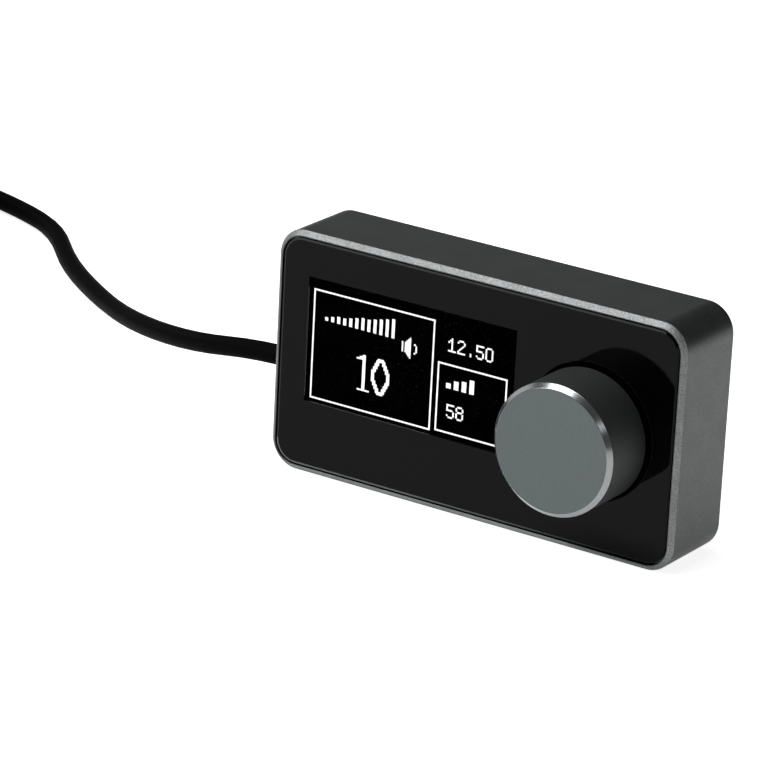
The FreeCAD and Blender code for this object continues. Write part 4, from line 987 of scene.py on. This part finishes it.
bm = bmesh.new()
loops = [panelLoop, shadeRingLoop, windowLoop]
plate(bm, loops, panelFront, panelRear, panel["edge"], panel["edgeDepth"])
panelMesh = meshFrom(bm, "frontPanel", panel["sharpAngle"])
dress(panelMesh, "panel_black", "panel_edge", "panel_edge_low")
mostX, mostY = panel["paintedReflectionBelow"]
# the bevel is grey as painted reflection where it faces left, up and down, lighter low down for
# the floor, and stays black on the right as painted shade
for polygon in panelMesh.polygons:
    deep = polygon.center.y / mm - panelFront
    bevelled = nearly < deep < panel["edgeDepth"] - nearly
    low = polygon.center.z / mm < panelBox[0].z + panel["corner"]
    if bevelled and polygon.normal.x < mostX and polygon.normal.y < mostY:
        polygon.material_index = 2 if low else 1
addPiece("frontPanel", panelMesh, "remote", None, ["front_panel"])

# matt black ring under the knob, level with the panel: painted shade round the knob's rear, which
# also hides the knob's reflection in the panel
bm = bmesh.new()
loops = [shadeRingLoop(0.0), knobCircle(panel["hole"])]
plate(bm, loops, panelFront + panel["shadeRingSunk"], panelRear)
addPiece("paintedShadeRing", meshFrom(bm, "paintedShadeRing"), "remote", "foot_black")
bm = bmesh.new()
plate(bm, [windowLoop], panelFront, panelFront + panel["filmThickness"])
addPiece("windowFilm", meshFrom(bm, "windowFilm"), "remote", "window_film")

# what the display shows: frames, bars and plain numbers, dot by dot
smallGlyphs = {
    "0": ".###.|#...#|#...#|#...#|#...#|#...#|#...#|.###.",
    "1": "..#..|.##..|#.#..|..#..|..#..|..#..|..#..|#####",
    "2": ".###.|#...#|....#|...#.|..#..|.#...|#....|#####",
    "5": "#####|#....|#....|####.|....#|....#|#...#|.###.",
    "8": ".###.|#...#|#...#|.###.|#...#|#...#|#...#|.###.",
    ".": ".....|.....|.....|.....|.....|.....|..#..|..#..",
}
bigOne = "....##...|..####...|######...|" + "....##...|" * 17 + ".########"
zeroTop = [
    "....####....", "...######...", "...##..##...", "..###..###..", "..##....##..",
    ".###....###.", ".##......##.", "###......###", "##........##", "##........##",
]
bigZero = "|".join(zeroTop + zeroTop[-1:] + zeroTop[::-1])
speakerTop = [
    ".....#....", "....##....", "...###....", "#.####..#.", "#.####...#", "#.####...#"
]
speaker = "|".join(speakerTop + speakerTop[::-1])
lit = set()


def drawGlyph(rows, column, row):
    for down, line in enumerate(rows.split("|")):
        for across, mark in enumerate(line):
            if mark == "#":
                lit.add((column + across, row + down))


def drawFrame(left, top, right, low):
    lit.update((column, row) for column in range(left, right + 1) for row in (top, low))
    lit.update((column, row) for column in (left, right) for row in range(top, low + 1))


def drawBars(column, low, heights, wide=2, step=4):
    for i, tall in enumerate(heights):
        for across in range(wide):
            lit.update((column + i * step + across, low - up) for up in range(tall))


# what stands where, in dots: columns from the left and rows from the top
picture = {
    "frames": [(0, 0, 79, 63), (83, 23, 127, 62)],
    "bars": [
        (8, 16, [2, 3, 4, 4, 5, 6, 7, 7, 8, 9, 10, 11]),
        (89, 36, [3, 5, 6, 8], 3, 5),
    ],
    "signs": [(speaker, 59, 14), (bigOne, 30, 31), (bigZero, 40, 31)],
    "numbers": [("12.50", 89, 8), ("58", 90, 46)],
    "digitStep": 6,
}
for corners in picture["frames"]:
    drawFrame(*corners)
for bars in picture["bars"]:
    drawBars(*bars)
for sign in picture["signs"]:
    drawGlyph(*sign)
for number, column, row in picture["numbers"]:
    for i, digit in enumerate(number):
        drawGlyph(smallGlyphs[digit], column + picture["digitStep"] * i, row)
dotY = displayBox[0].y - screen["lift"]
dots = [
    (screen["left"] + (column + 0.5) * screen["dotPitch"], dotY,
     screen["top"] - (row + 0.5) * screen["dotPitch"])
    for column, row in sorted(lit)
]
dotMesh = grow("litDots", dotForm(), dots, "lit_dot", {"Dot Size": screen["dotSize"]})
addPiece("litDots", dotMesh, "remote")
print("display drawn:", len(dots), "lit dots")

# knob: turned cap with a polished front edge
knob = {
    "edge": 0.7,
    "rearEdge": 0.25,
    "wall": 1.6,
    "softEdge": 0.06,
    "around": 144,
}
knobFront, knobBack = knobBox[0].y, knobBox[1].y
knobRadius = knobBox[1].x - knobMiddle.x
knobInside = knobRadius - knob["wall"]
knobProfile = [
    (knobFront, 0),
    (knobFront, knobRadius - knob["edge"]),
    (knobFront + knob["edge"], knobRadius),
    (knobBack - knob["rearEdge"], knobRadius),
    (knobBack, knobRadius - knob["rearEdge"]),
    (knobBack, knobInside),
    (knobFront + knob["wall"], knobInside),
    (knobFront + knob["wall"], 0),
]
# the lathe turns round X, and the knob's axis runs along Y
knobFrame = Matrix.Translation(Vector((knobMiddle.x, 0, knobMiddle.z)) * mm)
knobFrame = knobFrame @ Matrix.Rotation(quarterTurn, 4, "Z")
knobMesh = lathe("knobCap", knobProfile, knobFrame, knob["around"], 180)
dress(knobMesh, "knob_side", "knob_face", "knob_edge")
for polygon in knobMesh.polygons:
    along = polygon.center.y / mm
    if along < knobFront + nearly:
        polygon.material_index = 1
    elif along < knobFront + knob["edge"] - nearly:
        polygon.material_index = 2
knobCap = addPiece("knobCap", knobMesh, "dial", None, ["knob_cap"])
roundEdges(knobCap, knob["softEdge"])
print("knob made")

# snap dome under the plunger, drawn pressed so that the plunger has room to come down
dome = {
    "rise": 0.08,
    "thickness": 0.04,
    "bend": 0.5,
    "bendDrop": 0.2,
}
domeBox = boxOf("switch_dome")
domeFloor, domeRadius = domeBox[1].y, domeBox[1].x - knobMiddle.x
domeTop = domeFloor - dome["rise"]
domeSlope = [(domeTop, 0), (domeTop + dome["rise"] * dome["bendDrop"], domeRadius * dome["bend"])]
domeProfile = [
    *domeSlope,
    (domeFloor - dome["thickness"] / 2, domeRadius),
    (domeFloor, domeRadius),
    *[(along + dome["thickness"], radius) for along, radius in domeSlope[::-1]],
]
domeMesh = lathe("snapDome", domeProfile, knobFrame)
addPiece("snapDome", domeMesh, "remote", "contact_metal", ["switch_dome"])

# rear: four countersunk screws
screwMesh = grow(
    "coverScrews", screwForm(), [(x, rear, z) for x, z in cornerPlaces], "screw_black", screw
)
addPiece("coverScrews", screwMesh, "remote", None, ["cover_screws"])
print("screws made")

# cable entry, ties and plug
grommet = {
    "nose": 2.9,
    "tip": 2.2,
    "collarAt": 0.66,
    "collarRise": 0.22,
    "root": 2.9,
    "flange": 0.9,
    "flangeRadius": 3.7,
    "neck": 2.25,
    "inner": 2.7,
    "bore": 1.62,
    "softEdge": 0.18,
}
wall = housing["wall"]
grommetProfile = [
    (-grommet["nose"], grommet["bore"]),
    (-grommet["nose"], grommet["tip"]),
    (-grommet["nose"] * grommet["collarAt"], grommet["tip"] + grommet["collarRise"]),
    (-grommet["flange"], grommet["root"]),
    (-grommet["flange"], grommet["flangeRadius"]),
    (0, grommet["flangeRadius"]),
    (0, grommet["neck"]),
    (wall, grommet["neck"]),
    (wall, grommet["inner"]),
    (wall + grommet["flange"], grommet["inner"]),
    (wall + grommet["flange"], grommet["bore"]),
]
grommetMesh = lathe("cableGrommet", grommetProfile, holeFrame, sharp=180, closed=True)
grommetPiece = addPiece(
    "cableGrommet", grommetMesh, "remote", "grommet_rubber", ["cable_grommet"]
)
roundEdges(grommetPiece, grommet["softEdge"])

ties = {
    "places": (0.172, 0.467),
    "room": 0.3,
    "width": 4.0,
    "thickness": 0.8,
    "corner": 1.5,
    "toothPitch": 0.8,
    "lockLength": 5.2,
    "lockTall": 2.6,
    "lockWidth": 6.0,
    "lockEdge": 0.5,
}
tieForm = strapForm()
for number, share in enumerate(ties["places"], start=1):
    radii = [layerRadius(turn + share) for turn in range(coilTurns)]
    reach = cable["radius"] + ties["room"]
    inner, outer = min(radii) - reach, max(radii) + reach
    low = cableRoute[-1][2] / mm - reach
    tall = (cable["layers"] - 1) * cable["pitch"] + 2 * reach
    sizes = {
        "Inside Across": outer - inner,
        "Inside Tall": tall,
        "Corner": ties["corner"],
        "Width": ties["width"],
        "Thickness": ties["thickness"],
        "Tooth Pitch": ties["toothPitch"],
    }
    tieMesh = grow(f"coilTie{number}", tieForm, [(0, 0, 0)], "tie_plastic", sizes)
    middle = Matrix.Translation(Vector(((inner + outer) / 2, 0, low + tall / 2)) * mm)
    turn = Matrix.Rotation(startAngle + 2 * math.pi * share, 4, "Z")
    spot = Matrix.Translation(Vector((coilCentre.x, coilCentre.y, 0)))
    tieMesh.transform(spot @ turn @ middle)
    nodes = ["coil_ties"] if number == 1 else []
    tie = addPiece(f"coilTie{number}", tieMesh, "remote", None, nodes)

    bm = bmesh.new()
    bmesh.ops.create_cube(bm, size=1.0)
    size = Vector((ties["lockLength"], ties["lockWidth"], ties["lockTall"]))
    bmesh.ops.scale(bm, vec=size, verts=bm.verts[:])
    top = low + tall + ties["thickness"] * 0.5 + ties["lockTall"] / 2
    bmesh.ops.translate(bm, vec=((inner + outer) / 2, 0, top), verts=bm.verts[:])
    lockMesh = meshFrom(bm, f"tieLock{number}", sharp=180)
    lockMesh.transform(spot @ turn)
    lock = addPiece(f"tieLock{number}", lockMesh, "remote", "tie_plastic")
    roundEdges(lock, ties["lockEdge"], 3)
print("ties made")

plug = {
    "bootLength": 9.0,
    "bootTip": 2.3,
    "bootRoot": 3.1,
    "bootEdge": 0.1,
    "grooves": 4,
    "grooveStart": 1.2,
    "groovePitch": 1.7,
    "grooveWidth": 0.8,
    "grooveDepth": 0.45,
    "length": 12.1,
    "halfWidth": 4.825,
    "halfHeight": 3.3,
    "corner": 0.6,
    "rearBevel": 0.5,
    "stepStart": 4.2,
    "stepEnd": 4.6,
    "stepIn": 0.12,
    "noseBevel": 0.4,
    "noseIn": 0.45,
    "latchHalf": 1.6,
    "latchLength": 12.5,
    "latchNose": 1.2,
    "latchRoot": 2.88,
    "latchSunk": 0.2,
    "latchBend": 5.2,
    "bendHigh": 1.3,
    "bendLow": 0.5,
    "latchRise": 2.4,
    "latchThick": 0.8,
    "latchEdge": 0.12,
}
plugTurn = Matrix((endWay, Vector((0, 0, 1)).cross(endWay), Vector((0, 0, 1)))).transposed()
plugFrame = Matrix.Translation(plugAt) @ plugTurn.to_4x4()
taper = (plug["bootRoot"] - plug["bootTip"]) / plug["bootLength"]
bootProfile = [(0, 0), (0, plug["bootTip"])]
for i in range(plug["grooves"]):
    near = plug["grooveStart"] + plug["groovePitch"] * i
    far = near + plug["grooveWidth"]
    for along, deep in ((near, 0), (near, 1), (far, 1), (far, 0)):
        radius = plug["bootTip"] + taper * along - plug["grooveDepth"] * deep
        bootProfile.append((along, radius))
bootProfile += [(plug["bootLength"], plug["bootRoot"]), (plug["bootLength"], 0)]
bootMesh = lathe("plugBoot", bootProfile, plugFrame, sharp=180)
boot = addPiece("plugBoot", bootMesh, "remote", "grommet_rubber", ["plug_boot"])
roundEdges(boot, plug["bootEdge"])

# the plug's sides are swept along X; its latch is a bent tongue on top
plugRear, plugEnd = plug["bootLength"], plug["bootLength"] + plug["length"]
halfWide, halfTall = plug["halfWidth"], plug["halfHeight"]
rings = []
for along, inset in (
    (plugRear, plug["rearBevel"]),
    (plugRear + plug["rearBevel"], 0.0),
    (plugRear + plug["stepStart"], 0.0),
    (plugRear + plug["stepEnd"], plug["stepIn"]),
    (plugEnd - plug["noseBevel"], plug["stepIn"]),
    (plugEnd, plug["noseIn"]),
):
    loop = roundedLoop(-halfWide, halfWide, -halfTall, halfTall, plug["corner"], inset, 4)
    rings.append([(along, y, z) for y, z in loop])
plugMesh = sweep("plugBody", rings, plugFrame)
plugBody = addPiece("plugBody", plugMesh, "remote", "plug_clear", ["plug_body"])

latchFront, latchRear = plugEnd - plug["latchNose"], plugEnd - plug["latchLength"]
latchBend, latchHigh = plugEnd - plug["latchBend"], halfTall + plug["latchRise"]
latchLine = [
    (latchFront, halfTall - plug["latchSunk"]),
    (latchFront, halfTall + plug["latchThick"] / 2),
    (latchBend, halfTall + plug["bendHigh"]),
    (latchRear, latchHigh),
    (latchRear, latchHigh - plug["latchThick"]),
    (latchBend, halfTall + plug["bendLow"]),
    (plugEnd - plug["latchRoot"], halfTall - plug["latchSunk"]),
]
sides = (-plug["latchHalf"], plug["latchHalf"])
rings = [[(x, side, z) for x, z in latchLine] for side in sides]
latchMesh = sweep("plugLatch", rings, plugFrame)
latch = addPiece("plugLatch", latchMesh, "remote", "plug_clear")
roundEdges(latch, plug["latchEdge"])

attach(cord, "remote")
dress(cableData, "cable_jacket")
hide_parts("cord_run", "cord_coil")
print("plug made")

# floor, room and lamps
stage = {
    "floorSize": 12000.0,
    "floorDrop": 0.05,
    "glow": 0.86,
    "mirrored": 0.38,
    "bounce": 0.8,
    "wall": 0.94,
    "wallMirrored": 0.04,
    "room": 0.06,
    "lampTarget": (0, 0, 15),
}
# name: azimuth, elevation, then distance, width and height in metres, and watts
lamps = {
    "topSoftbox": (-41.0, 57.0, 0.9, 0.46, 1.3, 10.4),
    "rightLamp": (47.0, 26.5, 1.1, 0.19, 0.19, 0.165),
    "leftStrip": (-100.0, 18.0, 1.0, 0.6, 0.6, 1.0),
    "rearLamp": (-138.0, 22.0, 1.0, 0.6, 0.6, 0.15),
}
bm = bmesh.new()
bmesh.ops.create_grid(bm, x_segments=1, y_segments=1, size=stage["floorSize"] / 2 * mm)
floorMesh = bpy.data.meshes.new("floor")
bm.to_mesh(floorMesh)
bm.free()
floor = newObject("floor", floorMesh)
floor.location.z = -stage["floorDrop"] * mm


def seenAs(tree, direct, mirrored):
    # how bright a backdrop stands behind the object, and in its metal and glass
    rays = tree.node("ShaderNodeLightPath").socket.node.outputs
    seen, gloss, glass = [
        Wire(tree, rays[name])
        for name in ("Is Camera Ray", "Is Glossy Ray", "Is Transmission Ray")
    ]
    return (seen + glass) * direct + gloss * mirrored


tree = openPaint("floorPaint")
strength = seenAs(tree, stage["glow"], stage["mirrored"])
glow = tree.node("ShaderNodeEmission", {"Strength": strength})
matt = tree.node("ShaderNodeBsdfDiffuse", {"Color": (*[stage["bounce"]] * 3, 1.0)})
both = tree.node("ShaderNodeAddShader", {0: glow, 1: matt})
tree.node("ShaderNodeOutputMaterial", {"Surface": both})
dress(floorMesh, "floorPaint")

world = bpy.data.worlds.new("room")
world.use_nodes = True
world.node_tree.nodes.clear()
tree = Tree(world.node_tree)
strength = seenAs(tree, stage["wall"], stage["wallMirrored"]) + stage["room"]
air = tree.node("ShaderNodeBackground", {"Color": (1.0, 1.0, 1.0, 1.0), "Strength": strength})
tree.node("ShaderNodeOutputWorld", {"Surface": air})
scene.world = world
for name, (azimuth, elevation, distance, width, tall, watts) in lamps.items():
    lampData = bpy.data.lights.new(name, "AREA")
    lampData.shape = "RECTANGLE"
    lampData.size, lampData.size_y = width, tall
    lampData.energy = watts
    lamp = newObject(name, lampData)
    lamp.matrix_world = aimed(stage["lampTarget"], azimuth, elevation, distance / mm)
print("stage set")
